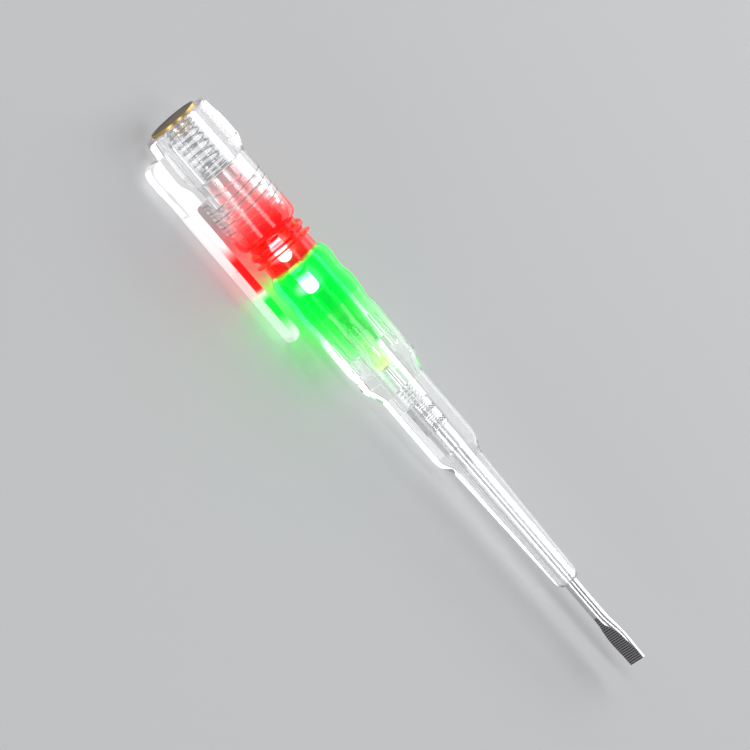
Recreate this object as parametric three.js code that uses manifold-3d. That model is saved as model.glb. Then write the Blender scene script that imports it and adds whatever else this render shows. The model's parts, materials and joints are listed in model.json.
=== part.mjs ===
// A voltage tester screwdriver, lying on its side as it comes to rest: head collar and clip
// touch the ground. Lengths are in millimetres. In the tool's own frame x runs from the touch
// disc at the tail to the blade, and the pocket clip is on the -y side.
import * as THREE from 'three';
import { mergeVertices } from 'three/addons/utils/BufferGeometryUtils.js';
import Module from 'manifold-3d';

const wasm = await Module();
wasm.setup();

// Clearances that all the pieces share.
const seatGap = 0.3;
const slipGap = 0.15;
const cutOverrun = 1;

// Facets round a turned piece, and round small details.
const roundSteps = 28;
const smallRoundSteps = 20;
const scallopSteps = 12;
const arcSteps = 5;
const shortArcSteps = 3;
const grooveSides = 4;
const springSides = 5;
const springStepsPerTurn = 8;

// Points that lie closer than this are one point.
const weldDistance = 1e-4;

// Button cells: 7.9 mm wide, with a narrower cap on the rear side.
const cell = {
  count: 3,
  radius: 3.95,
  thickness: 3.35,
  capRadius: 3.1,
  capHeight: 0.35,
  edge: 0.3,
};

// Touch disc at the tail.
const touch = {
  radius: 5.7,
  thickness: 1.3,
  chamfer: 0.35,
  stemRadius: 2.6,
  stemLength: 2.4,
};

// Rear battery spring.
const rearCoil = {
  radius: 3.2,
  wire: 0.5,
  length: 12.3,
  closedTurns: 2.5,
  openTurns: 4.5,
  closedPitch: 0.95,
};

// Clear rear housing: head collar, then a plain sleeve with a rounded mouth.
const rear = {
  tailRadius: 6.3,
  tailFillet: 1.5,
  tailInset: 0.7,
  shoulderLength: 6.3,
  shoulderRadius: 8.1,
  collarRadius: 8.5,
  collarLength: 4.6,
  chamferLength: 2.8,
  sleeveRadius: 7.33,
  sleeveLength: 15,
  mouthRadius: 6.25,
  mouthLength: 2.1,
};

// Screw thread between the two housings.
const thread = {
  pitch: 2,
  turns: 4,
  rootRadius: 5.1,
  depth: 0.5,
  crestWidth: 0.5,
  rootWidth: 0.95,
  leadIn: 6.6,
  mouthLength: 1.3,
};

// Clear front housing, from the spigot to the end of the blade sleeve.
const neck = {
  length: 7.3,
  coreRadius: 5.9,
  ringRadius: 6.7,
  ringLength: 2.2,
  ringMiddle: 1.85,
  flangeRadius: 7,
  flangeLength: 1,
  flangeMiddle: 4.05,
  crestShare: 0.4,
};
const grip = {
  length: 35.1,
  startRadius: 6,
  shoulderRadius: 7.25,
  dipRadius: 6.95,
  swellRadius: 7.4,
  waistRadius: 6.85,
  palmRadius: 7.18,
  rimRadius: 7.22,
  endRadius: 5.45,
  steps: 22,
};
// Each station of the grip's outline: its place along the grip, the two radii that it lies
// between, and how far it lies from the first radius to the second.
const gripShares = [
  [0, 'startRadius', 'startRadius', 0],
  [0.034, 'startRadius', 'shoulderRadius', 0.66],
  [0.088, 'shoulderRadius', 'shoulderRadius', 0],
  [0.188, 'dipRadius', 'dipRadius', 0],
  [0.282, 'swellRadius', 'swellRadius', 0],
  [0.356, 'swellRadius', 'waistRadius', 0.2],
  [0.45, 'waistRadius', 'waistRadius', 0],
  [0.524, 'palmRadius', 'palmRadius', 0],
  [0.641, 'palmRadius', 'palmRadius', 0],
  [0.745, 'palmRadius', 'palmRadius', 0],
  [0.806, 'waistRadius', 'palmRadius', 0.3],
  [0.852, 'rimRadius', 'rimRadius', 0],
  [0.885, 'rimRadius', 'endRadius', 0.15],
  [1, 'endRadius', 'endRadius', 0],
];
const scallop = {
  count: 8,
  radius: 2.6,
  depth: 0.32,
  length: 12.5,
  start: 16,
};
const stem = {
  length: 16.2,
  taperLength: 5.5,
};
const sleeve = {
  rearRadius: 3.65,
  frontRadius: 2.7,
  length: 30.9,
  endLength: 1.2,
  endRadius: 2,
};

// Steel shank and blade.
const shank = {
  radius: 1.5,
  knurlRadius: 1.9,
  knurlLength: 7,
  knurlCount: 20,
  knurlDepth: 0.16,
  collarRadius: 1.75,
  collarLength: 5.5,
  freeLength: 22,
};
const blade = {
  width: 4.5,
  tipWidth: 4.2,
  tipThickness: 0.7,
  heelThickness: 2.2,
  groundLength: 12.6,
  flareLength: 6.6,
  flareCurveShare: 0.33,
  tipLength: 2.5,
  turnFromClip: 25,
};

// Front contact: a headed pin pushed back by a short spring.
const pin = {
  radius: 1.1,
  length: 4.6,
  headRadius: 1.9,
  headLength: 0.9,
  tipRadius: 0.5,
};
const frontCoil = {
  radius: 1.55,
  wire: 0.4,
  length: 3.7,
  closedTurns: 1,
  openTurns: 1.5,
  closedPitch: 0.85,
};

// Circuit board and what stands on it, placed by its share of the board's length.
const plate = {
  thickness: 0.4,
  holeRadius: 0.9,
};
const board = {
  start: 2.2,
  length: 34.6,
  width: 6.6,
  thickness: 0.8,
  topBelowAxis: 0.4,
  forkLength: 2.9,
  prongPoint: 1,
  turnFromClip: 44,
};
const led = {
  radius: 1.5,
  flangeRadius: 1.75,
  flangeLength: 0.7,
  length: 5.3,
  leadSpacing: 2,
  redShare: 0.1416,
  greenShare: 0.3902,
};
const wire = {
  radius: 0.25,
  sides: 6,
  bend: 0.6,
  bendSteps: 3,
  tail: 0.45,
  hole: 0.8,
};
const chip = {
  length: 4.9,
  width: 3.3,
  height: 1.4,
  legCount: 4,
  legPitch: 1.1,
  legWidth: 0.4,
  legReach: 0.5,
  legHeight: 0.6,
  startShare: 0.5607,
};
const transistor = {
  length: 1.5,
  width: 2.6,
  height: 0.9,
  legWidth: 0.4,
  legReach: 0.45,
  legHeight: 0.4,
  startShare: 0.7457,
};
const chipBlock = {
  length: 1.25,
  width: 2,
  resistorHeight: 0.5,
  capacitorHeight: 0.9,
  resistorShare: 0.815,
  capacitorShare: 0.4971,
};
const resistor = {
  radius: 1.9,
  waistRadius: 1.65,
  length: 7.6,
  capLength: 1.5,
  edge: 0.4,
};

// Pocket clip.
const clip = {
  rootStart: 4.3,
  rootLength: 12.7,
  length: 34.4,
  width: 5.4,
  underside: 10.2,
  thickness: 1.8,
  tailCorner: 2.4,
  tipCorner: 1.9,
  edge: 0.35,
  ribHeight: 0.25,
  ribWidth: 0.5,
  firstRibShare: 0.44,
  secondRibShare: 0.76,
};

// Bores of the front housing, each from the piece that it holds.
const cellBore = cell.radius + slipGap;
const boardCorner = Math.hypot(board.width / 2, board.topBelowAxis + board.thickness);
const boardBore = boardCorner + seatGap;
const resistorBore = resistor.radius + seatGap;
const knurlBore = shank.knurlRadius + slipGap;
const shankBore = shank.radius + slipGap;

// Places along the tool, each from the pieces behind it.
const rearSpringStart = touch.thickness + seatGap;
const cellStart = rearSpringStart + rearCoil.length + seatGap;
const cellPitch = cell.thickness + seatGap;
const plateStart = cellStart + cell.count * cellPitch;
const cellBoreEnd = plateStart + plate.thickness + seatGap;
const spigotStart = cellStart;
const chamferStart = rear.tailInset + rear.shoulderLength + rear.collarLength;
const rearSleeveStart = chamferStart + rear.chamferLength;
const mouthStart = rearSleeveStart + rear.sleeveLength;
const mouthEnd = mouthStart + rear.mouthLength;
const neckStart = mouthEnd + seatGap;
const gripStart = neckStart + neck.length;
const stemStart = gripStart + grip.length;
const taperStart = stemStart + stem.length;
const sleeveStart = taperStart + stem.taperLength;
const sleeveEnd = sleeveStart + sleeve.length + sleeve.endLength;
const boardStart = cellBoreEnd + board.start;
const boardEnd = boardStart + board.length;
const boardBoreEnd = boardEnd + seatGap;
const resistorStart = boardEnd - board.forkLength + seatGap + wire.bend;
const pinStart = resistorStart + resistor.length + seatGap;
const frontSpringStart = pinStart + pin.length + pin.headLength + seatGap;
const shankStart = frontSpringStart + frontCoil.length + seatGap;
const shankEnd = sleeveEnd + shank.freeLength;
const threadCrest = thread.rootRadius + thread.depth;
const threadStart = spigotStart + thread.leadIn;

// Heights on the board, measured from the tool's axis.
const boardTop = -board.topBelowAxis;
const boardBottom = boardTop - board.thickness;
const lampHeight = boardTop + slipGap + led.flangeRadius;
const chipFoot = boardTop + slipGap;

// The lamps, and the board's holes for the leads, each as [along, across].
const redStart = boardStart + led.redShare * board.length;
const greenStart = boardStart + led.greenShare * board.length;
const lampLeadReach = wire.bend + wire.radius + seatGap;
const lampHoles = [redStart, greenStart].flatMap((start) => (
  [-1, 1].map((sign) => [start - lampLeadReach, (sign * led.leadSpacing) / 2])
));
const batteryHole = [boardStart + wire.hole, 0];
const resistorHole = [boardEnd - board.forkLength - wire.hole, 0];

// Clip heights, measured from the tool's axis.
const clipTop = clip.underside + clip.thickness;
const clipBarStart = clip.rootStart + clip.rootLength + seatGap;
const clipEnd = clip.rootStart + clip.rootLength + clip.length;

function degrees(angle) {
  return THREE.MathUtils.degToRad(angle);
}

// Drops the triangles that a pole has folded to nothing, and turns the mesh the right way out.
function closedMesh(geometry) {
  geometry.deleteAttribute('normal');
  geometry.deleteAttribute('uv');
  const merged = mergeVertices(geometry, weldDistance);
  const points = merged.attributes.position;
  const index = merged.index.array;
  const corners = [0, 1, 2].map(() => new THREE.Vector3());
  const kept = [];
  let volume = 0;
  for (let i = 0; i < index.length; i += 3) {
    const [a, b, c] = [index[i], index[i + 1], index[i + 2]];
    if (a === b || b === c || c === a) {
      continue;
    }
    corners.forEach((corner, k) => corner.fromBufferAttribute(points, index[i + k]));
    volume += corners[0].dot(corners[1].clone().cross(corners[2]));
    kept.push(a, b, c);
  }
  merged.setIndex(volume < 0 ? kept.reverse() : kept);
  return merged;
}

function toSolid(geometry) {
  const mesh = closedMesh(geometry);
  return new wasm.Manifold(new wasm.Mesh({
    numProp: 3,
    vertProperties: new Float32Array(mesh.attributes.position.array),
    triVerts: new Uint32Array(mesh.index.array),
  }));
}

function toGeometry(solid) {
  const mesh = solid.getMesh();
  const geometry = new THREE.BufferGeometry();
  geometry.setAttribute('position', new THREE.BufferAttribute(mesh.vertProperties, 3));
  geometry.setIndex(new THREE.BufferAttribute(mesh.triVerts, 1));
  return geometry;
}

// Turns an outline of [x, radius] points about the x axis. An outline that starts and ends
// on the axis makes a bar, and one that closes on itself makes a ring or a tube.
function turned(outline, steps = roundSteps) {
  const points = outline.map(([x, radius]) => new THREE.Vector2(radius, x));
  return new THREE.LatheGeometry(points, steps).rotateZ(-Math.PI / 2);
}

function turnedBar(outline, steps) {
  const first = outline[0];
  const last = outline[outline.length - 1];
  return turned([[first[0], 0], ...outline, [last[0], 0]], steps);
}

function turnedTube(outline, steps) {
  return turned([...outline, outline[0]], steps);
}

// A quarter of an ellipse between two corners of an outline, bulging outwards.
function quarterArc(from, to, startsUpright, steps = arcSteps) {
  return Array.from({ length: steps + 1 }, (_, i) => {
    const angle = (i / steps) * (Math.PI / 2);
    const along = startsUpright ? 1 - Math.cos(angle) : Math.sin(angle);
    const across = startsUpright ? Math.sin(angle) : 1 - Math.cos(angle);
    return [
      THREE.MathUtils.lerp(from[0], to[0], along),
      THREE.MathUtils.lerp(from[1], to[1], across),
    ];
  });
}

// A taper that leaves the first corner and meets the second without a crease.
function easedTaper(from, to, steps = arcSteps) {
  return Array.from({ length: steps + 1 }, (_, i) => [
    THREE.MathUtils.lerp(from[0], to[0], i / steps),
    THREE.MathUtils.lerp(from[1], to[1], THREE.MathUtils.smoothstep(i / steps, 0, 1)),
  ]);
}

// Joins rings of points into one closed tube, with a flat end at each side.
function loft(rings) {
  const sides = rings[0].length;
  const points = rings.flat();
  const faces = [];
  for (let ring = 0; ring < rings.length - 1; ring += 1) {
    for (let side = 0; side < sides; side += 1) {
      const next = (side + 1) % sides;
      const a = ring * sides + side;
      const b = ring * sides + next;
      faces.push(a, b, b + sides, a, b + sides, a + sides);
    }
  }
  const lastRing = (rings.length - 1) * sides;
  for (let side = 1; side < sides - 1; side += 1) {
    faces.push(0, side + 1, side);
    faces.push(lastRing, lastRing + side, lastRing + side + 1);
  }
  const geometry = new THREE.BufferGeometry();
  const numbers = points.flatMap((point) => point.toArray());
  geometry.setAttribute('position', new THREE.Float32BufferAttribute(numbers, 3));
  geometry.setIndex(faces);
  return geometry;
}

// A round wire through a row of points, its section carried along without twist.
function wireThrough(points, radius, sides) {
  let side = new THREE.Vector3();
  const rings = points.map((point, i) => {
    const before = points[Math.max(i - 1, 0)];
    const after = points[Math.min(i + 1, points.length - 1)];
    const along = after.clone().sub(before).normalize();
    if (i === 0) {
      const away = Math.abs(along.z) < 0.9 ? new THREE.Vector3(0, 0, 1) : new THREE.Vector3(0, 1, 0);
      side = away.cross(along).normalize();
    } else {
      side = side.clone().addScaledVector(along, -side.dot(along)).normalize();
    }
    const up = along.clone().cross(side);
    return Array.from({ length: sides }, (_, k) => {
      const angle = (2 * Math.PI * k) / sides;
      return point.clone()
        .addScaledVector(side, radius * Math.cos(angle))
        .addScaledVector(up, radius * Math.sin(angle));
    });
  });
  return loft(rings);
}

// A compression spring along x: close turns at both ends, open turns between them.
function springPoints(coil) {
  const body = coil.length - coil.wire;
  const open = body - 2 * coil.closedTurns * coil.closedPitch;
  const turns = 2 * coil.closedTurns + coil.openTurns;
  const count = Math.round(turns * springStepsPerTurn);
  return Array.from({ length: count + 1 }, (_, i) => {
    const turn = (turns * i) / count;
    const closedBefore = Math.min(turn, coil.closedTurns);
    const opened = Math.min(Math.max(turn - coil.closedTurns, 0), coil.openTurns);
    const closedAfter = Math.max(turn - coil.closedTurns - coil.openTurns, 0);
    const x = (closedBefore + closedAfter) * coil.closedPitch + (open * opened) / coil.openTurns;
    const angle = 2 * Math.PI * turn;
    return new THREE.Vector3(
      x + coil.wire / 2,
      coil.radius * Math.cos(angle),
      coil.radius * Math.sin(angle),
    );
  });
}

function springGeometry(coil, start) {
  const points = springPoints(coil).map((point) => point.setX(point.x + start));
  return wireThrough(points, coil.wire / 2, springSides);
}

// Least space between one turn's wire and the next, measured on the spring's own points.
function leastTurnGap(coil) {
  const points = springPoints(coil);
  let least = Infinity;
  const halfTurn = springStepsPerTurn / 2;
  for (let i = 0; i < points.length; i += 1) {
    for (let k = i + halfTurn + 1; k < points.length; k += 1) {
      least = Math.min(least, points[i].distanceTo(points[k]) - coil.wire);
    }
  }
  return least;
}

// The ridge of a screw thread, as a bar with a sloping section wound round the x axis.
function threadRidge(start, turns, innerRadius, outerRadius, innerWidth, outerWidth) {
  const count = Math.round(turns * roundSteps);
  const rings = Array.from({ length: count + 1 }, (_, i) => {
    const turn = i / roundSteps;
    const angle = 2 * Math.PI * turn;
    const x = start + thread.pitch * turn;
    const corner = (offset, radius) => new THREE.Vector3(
      x + offset,
      radius * Math.cos(angle),
      radius * Math.sin(angle),
    );
    return [
      corner(-innerWidth / 2, innerRadius),
      corner(innerWidth / 2, innerRadius),
      corner(outerWidth / 2, outerRadius),
      corner(-outerWidth / 2, outerRadius),
    ];
  });
  return loft(rings);
}

// A box given by its lowest and highest corners.
function boxBetween(low, high) {
  const size = high.map((value, axis) => value - low[axis]);
  const centre = high.map((value, axis) => (value + low[axis]) / 2);
  return new THREE.BoxGeometry(...size).translate(...centre);
}

const finishes = {
  clear: { color: 0xeef3f5, roughness: 0.05, metalness: 0, transparent: true, opacity: 0.35 },
  brass: { color: 0xb8964a, roughness: 0.3, metalness: 1 },
  steel: { color: 0xc6c8ca, roughness: 0.25, metalness: 1 },
  redLamp: { color: 0xff1410, roughness: 0.2, metalness: 0, emissive: 0xff0000 },
  greenLamp: { color: 0x10ff50, roughness: 0.2, metalness: 0, emissive: 0x00ff40 },
  board: { color: 0x1d6b3a, roughness: 0.5, metalness: 0 },
  blackResin: { color: 0x17181a, roughness: 0.45, metalness: 0 },
  paleYellow: { color: 0xd9c98a, roughness: 0.4, metalness: 0 },
  ceramic: { color: 0xb59a72, roughness: 0.5, metalness: 0 },
};

const tool = new THREE.Group();

function addPiece(name, geometry, finish, parent = tool) {
  const mesh = new THREE.Mesh(closedMesh(geometry), new THREE.MeshStandardMaterial(finishes[finish]));
  mesh.name = name;
  parent.add(mesh);
  return mesh;
}

// A group whose +z points away from the clip's direction by the given turn.
function groupTurnedFromClip(turn) {
  const group = new THREE.Group();
  group.rotation.x = degrees(90 - turn);
  tool.add(group);
  return group;
}

function gripOutline() {
  const points = gripShares.map(([place, from, to, share]) => new THREE.Vector2(
    gripStart + place * grip.length,
    THREE.MathUtils.lerp(grip[from], grip[to], share),
  ));
  return new THREE.SplineCurve(points).getPoints(grip.steps).map(({ x, y }) => [x, y]);
}

// A ring round the neck, with sloping sides and a flat crest.
function neckRing(middle, length, radius) {
  const crest = neck.crestShare * length;
  return [
    [neckStart + middle - length / 2, neck.coreRadius],
    [neckStart + middle - crest / 2, radius],
    [neckStart + middle + crest / 2, radius],
    [neckStart + middle + length / 2, neck.coreRadius],
  ];
}

function frontHousing() {
  const outline = [
    [spigotStart, cellBore],
    [spigotStart, thread.rootRadius],
    [neckStart, thread.rootRadius],
    [neckStart, neck.coreRadius],
    ...neckRing(neck.ringMiddle, neck.ringLength, neck.ringRadius),
    ...neckRing(neck.flangeMiddle, neck.flangeLength, neck.flangeRadius),
    [gripStart, neck.coreRadius],
    ...gripOutline(),
    ...easedTaper([taperStart, grip.endRadius], [sleeveStart, sleeve.rearRadius]),
    ...quarterArc([sleeveStart + sleeve.length, sleeve.frontRadius],
      [sleeveEnd, sleeve.endRadius], false, shortArcSteps),
    [sleeveEnd, shankBore],
    [shankStart + shank.knurlLength + shank.collarLength + seatGap, shankBore],
    [shankStart + shank.knurlLength + shank.collarLength + seatGap, knurlBore],
    [shankStart - seatGap, knurlBore],
    [shankStart - seatGap, resistorBore],
    [boardBoreEnd, resistorBore],
    [boardBoreEnd, boardBore],
    [cellBoreEnd, boardBore],
    [cellBoreEnd, cellBore],
  ];
  let solid = toSolid(turnedTube(outline));
  const ridge = threadRidge(
    threadStart,
    thread.turns,
    thread.rootRadius - slipGap,
    threadCrest,
    thread.rootWidth,
    thread.crestWidth,
  );
  solid = solid.add(toSolid(ridge));
  for (let i = 0; i < scallop.count; i += 1) {
    solid = solid.subtract(toSolid(scallopCutter(i)));
  }
  return toGeometry(solid);
}

// A long round-ended cutter lying just inside the palm of the grip.
function scallopCutter(i) {
  const start = gripStart + scallop.start;
  const end = start + scallop.length;
  const outline = [
    ...quarterArc([start, 0], [start + scallop.radius, scallop.radius], true, shortArcSteps),
    ...quarterArc([end - scallop.radius, scallop.radius], [end, 0], false, shortArcSteps),
  ];
  const distance = grip.palmRadius - scallop.depth + scallop.radius;
  return turned(outline, scallopSteps)
    .translate(0, 0, distance)
    .rotateX((2 * Math.PI * (i + 0.5)) / scallop.count);
}

function rearHousing() {
  const discPocket = touch.radius + slipGap;
  const pocketEnd = touch.thickness + seatGap;
  const springBore = rearCoil.radius + rearCoil.wire / 2 + seatGap;
  const minorRadius = thread.rootRadius + slipGap + slipGap / 2;
  const majorRadius = threadCrest + slipGap + slipGap / 2;
  const stopStart = spigotStart - seatGap;
  const outline = [
    [rear.tailInset, discPocket],
    ...quarterArc([rear.tailInset, rear.tailRadius],
      [rear.tailInset + rear.tailFillet, rear.shoulderRadius - slipGap], true, shortArcSteps),
    [rear.tailInset + rear.shoulderLength / 2, rear.shoulderRadius],
    [rear.tailInset + rear.shoulderLength, rear.collarRadius],
    [chamferStart, rear.collarRadius],
    [rearSleeveStart, rear.sleeveRadius],
    ...quarterArc([mouthStart, rear.sleeveRadius], [mouthEnd, rear.mouthRadius], false),
    [mouthEnd, majorRadius],
    [mouthEnd - thread.mouthLength, majorRadius],
    [mouthEnd - thread.mouthLength, minorRadius],
    [stopStart, minorRadius],
    [stopStart, springBore],
    [pocketEnd, springBore],
    [pocketEnd, discPocket],
  ];
  let solid = toSolid(turnedTube(outline));
  const widening = 2 * slipGap;
  const groove = threadRidge(
    threadStart - thread.pitch,
    thread.turns + 2,
    minorRadius - slipGap,
    majorRadius,
    thread.rootWidth + widening,
    thread.crestWidth + widening,
  );
  solid = solid.subtract(toSolid(groove));
  const bores = turnedBar([[0, rear.sleeveRadius - slipGap], [mouthEnd, rear.sleeveRadius - slipGap]]);
  const root = toSolid(clipRootBlock()).subtract(toSolid(bores));
  return toGeometry(solid.add(root));
}

// The block that carries the clip, with a rounded corner at the tail.
function clipRootBlock() {
  const end = clip.rootStart + clip.rootLength;
  const shape = new THREE.Shape();
  shape.moveTo(clip.rootStart, 0);
  shape.lineTo(end, 0);
  shape.lineTo(end, clipTop);
  shape.lineTo(clip.rootStart + clip.tailCorner, clipTop);
  shape.absarc(clip.rootStart + clip.tailCorner, clipTop - clip.tailCorner, clip.tailCorner,
    Math.PI / 2, Math.PI, false);
  shape.closePath();
  const block = new THREE.ExtrudeGeometry(shape, {
    depth: clip.width,
    bevelEnabled: false,
    curveSegments: arcSteps,
  });
  return block.translate(0, 0, -clip.width / 2).rotateX(Math.PI);
}

// The springy bar, with round corners at its tip and two fine ribs across its back.
function clipBar() {
  const half = clip.width / 2;
  const shape = new THREE.Shape();
  shape.moveTo(clipBarStart, -half);
  shape.lineTo(clipEnd - clip.tipCorner, -half);
  shape.absarc(clipEnd - clip.tipCorner, clip.tipCorner - half, clip.tipCorner, -Math.PI / 2, 0, false);
  shape.absarc(clipEnd - clip.tipCorner, half - clip.tipCorner, clip.tipCorner, 0, Math.PI / 2, false);
  shape.lineTo(clipBarStart, half);
  shape.closePath();
  const flat = new THREE.ExtrudeGeometry(shape, {
    depth: clip.thickness - 2 * clip.edge,
    bevelEnabled: true,
    bevelThickness: clip.edge,
    bevelSize: clip.edge,
    bevelOffset: -clip.edge,
    bevelSegments: 1,
    curveSegments: arcSteps,
  });
  const bar = toSolid(flat.translate(0, 0, clip.underside + clip.edge).rotateX(Math.PI / 2));
  const ribs = [clip.firstRibShare, clip.secondRibShare].map((share) => {
    const middle = clipBarStart + share * clip.length;
    return toSolid(boxBetween(
      [middle - clip.ribWidth / 2, -clipTop - clip.ribHeight, clip.edge - half],
      [middle + clip.ribWidth / 2, -clipTop + clip.edge, half - clip.edge],
    ));
  });
  return toGeometry(bar.add(ribs[0]).add(ribs[1]));
}

function touchContact() {
  return turnedBar([
    [0, touch.radius - touch.chamfer],
    [touch.chamfer, touch.radius],
    [touch.thickness, touch.radius],
    [touch.thickness, touch.stemRadius],
    [touch.thickness + touch.stemLength - touch.chamfer, touch.stemRadius],
    [touch.thickness + touch.stemLength, touch.stemRadius - touch.chamfer],
  ]);
}

function buttonCell(start) {
  return turnedBar([
    [start, cell.capRadius],
    [start + cell.capHeight, cell.capRadius],
    [start + cell.capHeight, cell.radius - cell.edge],
    [start + cell.capHeight + cell.edge, cell.radius],
    [start + cell.thickness - cell.edge, cell.radius],
    [start + cell.thickness, cell.radius - cell.edge],
  ]);
}

function cellPlate() {
  return turnedTube([
    [plateStart, plate.holeRadius],
    [plateStart, cell.radius],
    [plateStart + plate.thickness, cell.radius],
    [plateStart + plate.thickness, plate.holeRadius],
  ], smallRoundSteps);
}

// A lamp lying on the board, its dome towards the blade.
function lamp(start) {
  const domeStart = led.length - led.radius;
  const outline = [
    [0, led.flangeRadius],
    [led.flangeLength, led.flangeRadius],
    [led.flangeLength, led.radius],
    ...quarterArc([domeStart, led.radius], [led.length, 0], false),
  ];
  return turned([[0, 0], ...outline], smallRoundSteps)
    .translate(start, 0, lampHeight);
}

// A wire that runs along the board and then bends down through its hole.
function bentWire(from, towards, side, height) {
  const way = Math.sign(towards - from);
  const corner = new THREE.Vector3(towards, side, height);
  const points = [new THREE.Vector3(from, side, height)];
  for (let i = 0; i <= wire.bendSteps; i += 1) {
    const angle = (i / wire.bendSteps) * (Math.PI / 2);
    points.push(new THREE.Vector3(
      corner.x - way * wire.bend * (1 - Math.sin(angle)),
      side,
      corner.z - wire.bend * (1 - Math.cos(angle)),
    ));
  }
  points.push(new THREE.Vector3(towards, side, boardBottom - wire.tail));
  return wireThrough(points, wire.radius, wire.sides);
}

function circuitBoard() {
  const half = board.width / 2;
  const forkHalf = resistor.radius + seatGap;
  const forkStart = boardEnd - board.forkLength;
  const shape = new THREE.Shape([
    [boardStart, -half],
    [forkStart, -half],
    [boardEnd, -half + board.prongPoint / 2],
    [boardEnd, -forkHalf],
    [forkStart, -forkHalf],
    [forkStart, forkHalf],
    [boardEnd, forkHalf],
    [boardEnd, half - board.prongPoint / 2],
    [forkStart, half],
    [boardStart, half],
  ].map(([x, y]) => new THREE.Vector2(x, y)));
  const slab = new THREE.ExtrudeGeometry(shape, { depth: board.thickness, bevelEnabled: false });
  let solid = toSolid(slab.translate(0, 0, boardBottom));
  [...lampHoles, batteryHole, resistorHole].forEach(([x, y]) => {
    solid = solid.subtract(toSolid(boxBetween(
      [x - wire.hole / 2, y - wire.hole / 2, boardBottom - cutOverrun],
      [x + wire.hole / 2, y + wire.hole / 2, boardTop + cutOverrun],
    )));
  });
  return toGeometry(solid);
}

// A chip with its legs, standing just clear of the board.
function leggedChip(body, legXs) {
  const start = boardStart + body.startShare * board.length;
  const bottom = chipFoot + slipGap;
  let solid = toSolid(boxBetween(
    [start, -body.width / 2, bottom],
    [start + body.length, body.width / 2, bottom + body.height],
  ));
  legXs.forEach(([x, sign]) => {
    const reach = body.width / 2 + body.legReach;
    const sides = [sign * reach, sign * (body.width / 2 - slipGap)].sort((a, b) => a - b);
    solid = solid.add(toSolid(boxBetween(
      [start + x - body.legWidth / 2, sides[0], chipFoot],
      [start + x + body.legWidth / 2, sides[1], chipFoot + body.legHeight],
    )));
  });
  return toGeometry(solid);
}

function chipLegs() {
  const middle = chip.length / 2;
  const firstLeg = middle - ((chip.legCount - 1) * chip.legPitch) / 2;
  return [-1, 1].flatMap((sign) => (
    Array.from({ length: chip.legCount }, (_, i) => [firstLeg + i * chip.legPitch, sign])
  ));
}

function transistorLegs() {
  const quarter = transistor.length / 4;
  return [[quarter, -1], [3 * quarter, -1], [transistor.length / 2, 1]];
}

function chipResistor() {
  const start = boardStart + chipBlock.resistorShare * board.length;
  return boxBetween(
    [start, -chipBlock.width / 2, chipFoot],
    [start + chipBlock.length, chipBlock.width / 2, chipFoot + chipBlock.resistorHeight],
  );
}

// The capacitor is the one chip on the underside.
function chipCapacitor() {
  const start = boardStart + chipBlock.capacitorShare * board.length;
  const top = boardBottom - slipGap;
  return boxBetween(
    [start, -chipBlock.width / 2, top - chipBlock.capacitorHeight],
    [start + chipBlock.length, chipBlock.width / 2, top],
  );
}

function seriesResistor() {
  const end = resistorStart + resistor.length;
  return turnedBar([
    [resistorStart, resistor.radius - resistor.edge],
    [resistorStart + resistor.edge, resistor.radius],
    [resistorStart + resistor.capLength, resistor.radius],
    [resistorStart + resistor.capLength + resistor.edge, resistor.waistRadius],
    [end - resistor.capLength - resistor.edge, resistor.waistRadius],
    [end - resistor.capLength, resistor.radius],
    [end - resistor.edge, resistor.radius],
    [end, resistor.radius - resistor.edge],
  ], smallRoundSteps);
}

function contactPin() {
  const stemEnd = pinStart + pin.length;
  return turnedBar([
    [pinStart, pin.tipRadius],
    [pinStart + pin.radius - pin.tipRadius, pin.radius],
    [stemEnd, pin.radius],
    [stemEnd, pin.headRadius],
    [stemEnd + pin.headLength, pin.headRadius],
  ], smallRoundSteps);
}

// The shank is turned, knurled at the rear, and forged and ground flat at the tip.
function steelShank() {
  const knurlEnd = shankStart + shank.knurlLength;
  const collarEnd = knurlEnd + shank.collarLength;
  const flareStart = shankEnd - blade.groundLength;
  const bar = toSolid(turnedBar([
    [shankStart, shank.knurlRadius],
    [knurlEnd, shank.knurlRadius],
    [knurlEnd, shank.collarRadius],
    [collarEnd, shank.collarRadius],
    [collarEnd, shank.radius],
    [flareStart + shank.radius, shank.radius],
  ], smallRoundSteps));
  let solid = bar.add(toSolid(bladeBody(flareStart)));
  const grooveRadius = shank.knurlRadius + shank.knurlDepth;
  for (let i = 0; i < shank.knurlCount; i += 1) {
    const groove = new THREE.CylinderGeometry(
      2 * shank.knurlDepth,
      2 * shank.knurlDepth,
      shank.knurlLength + cutOverrun,
      grooveSides,
    );
    groove.rotateZ(Math.PI / 2)
      .translate(shankStart + (shank.knurlLength - cutOverrun) / 2, 0, grooveRadius)
      .rotateX((2 * Math.PI * i) / shank.knurlCount);
    solid = solid.subtract(toSolid(groove));
  }
  return toGeometry(solid);
}

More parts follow.
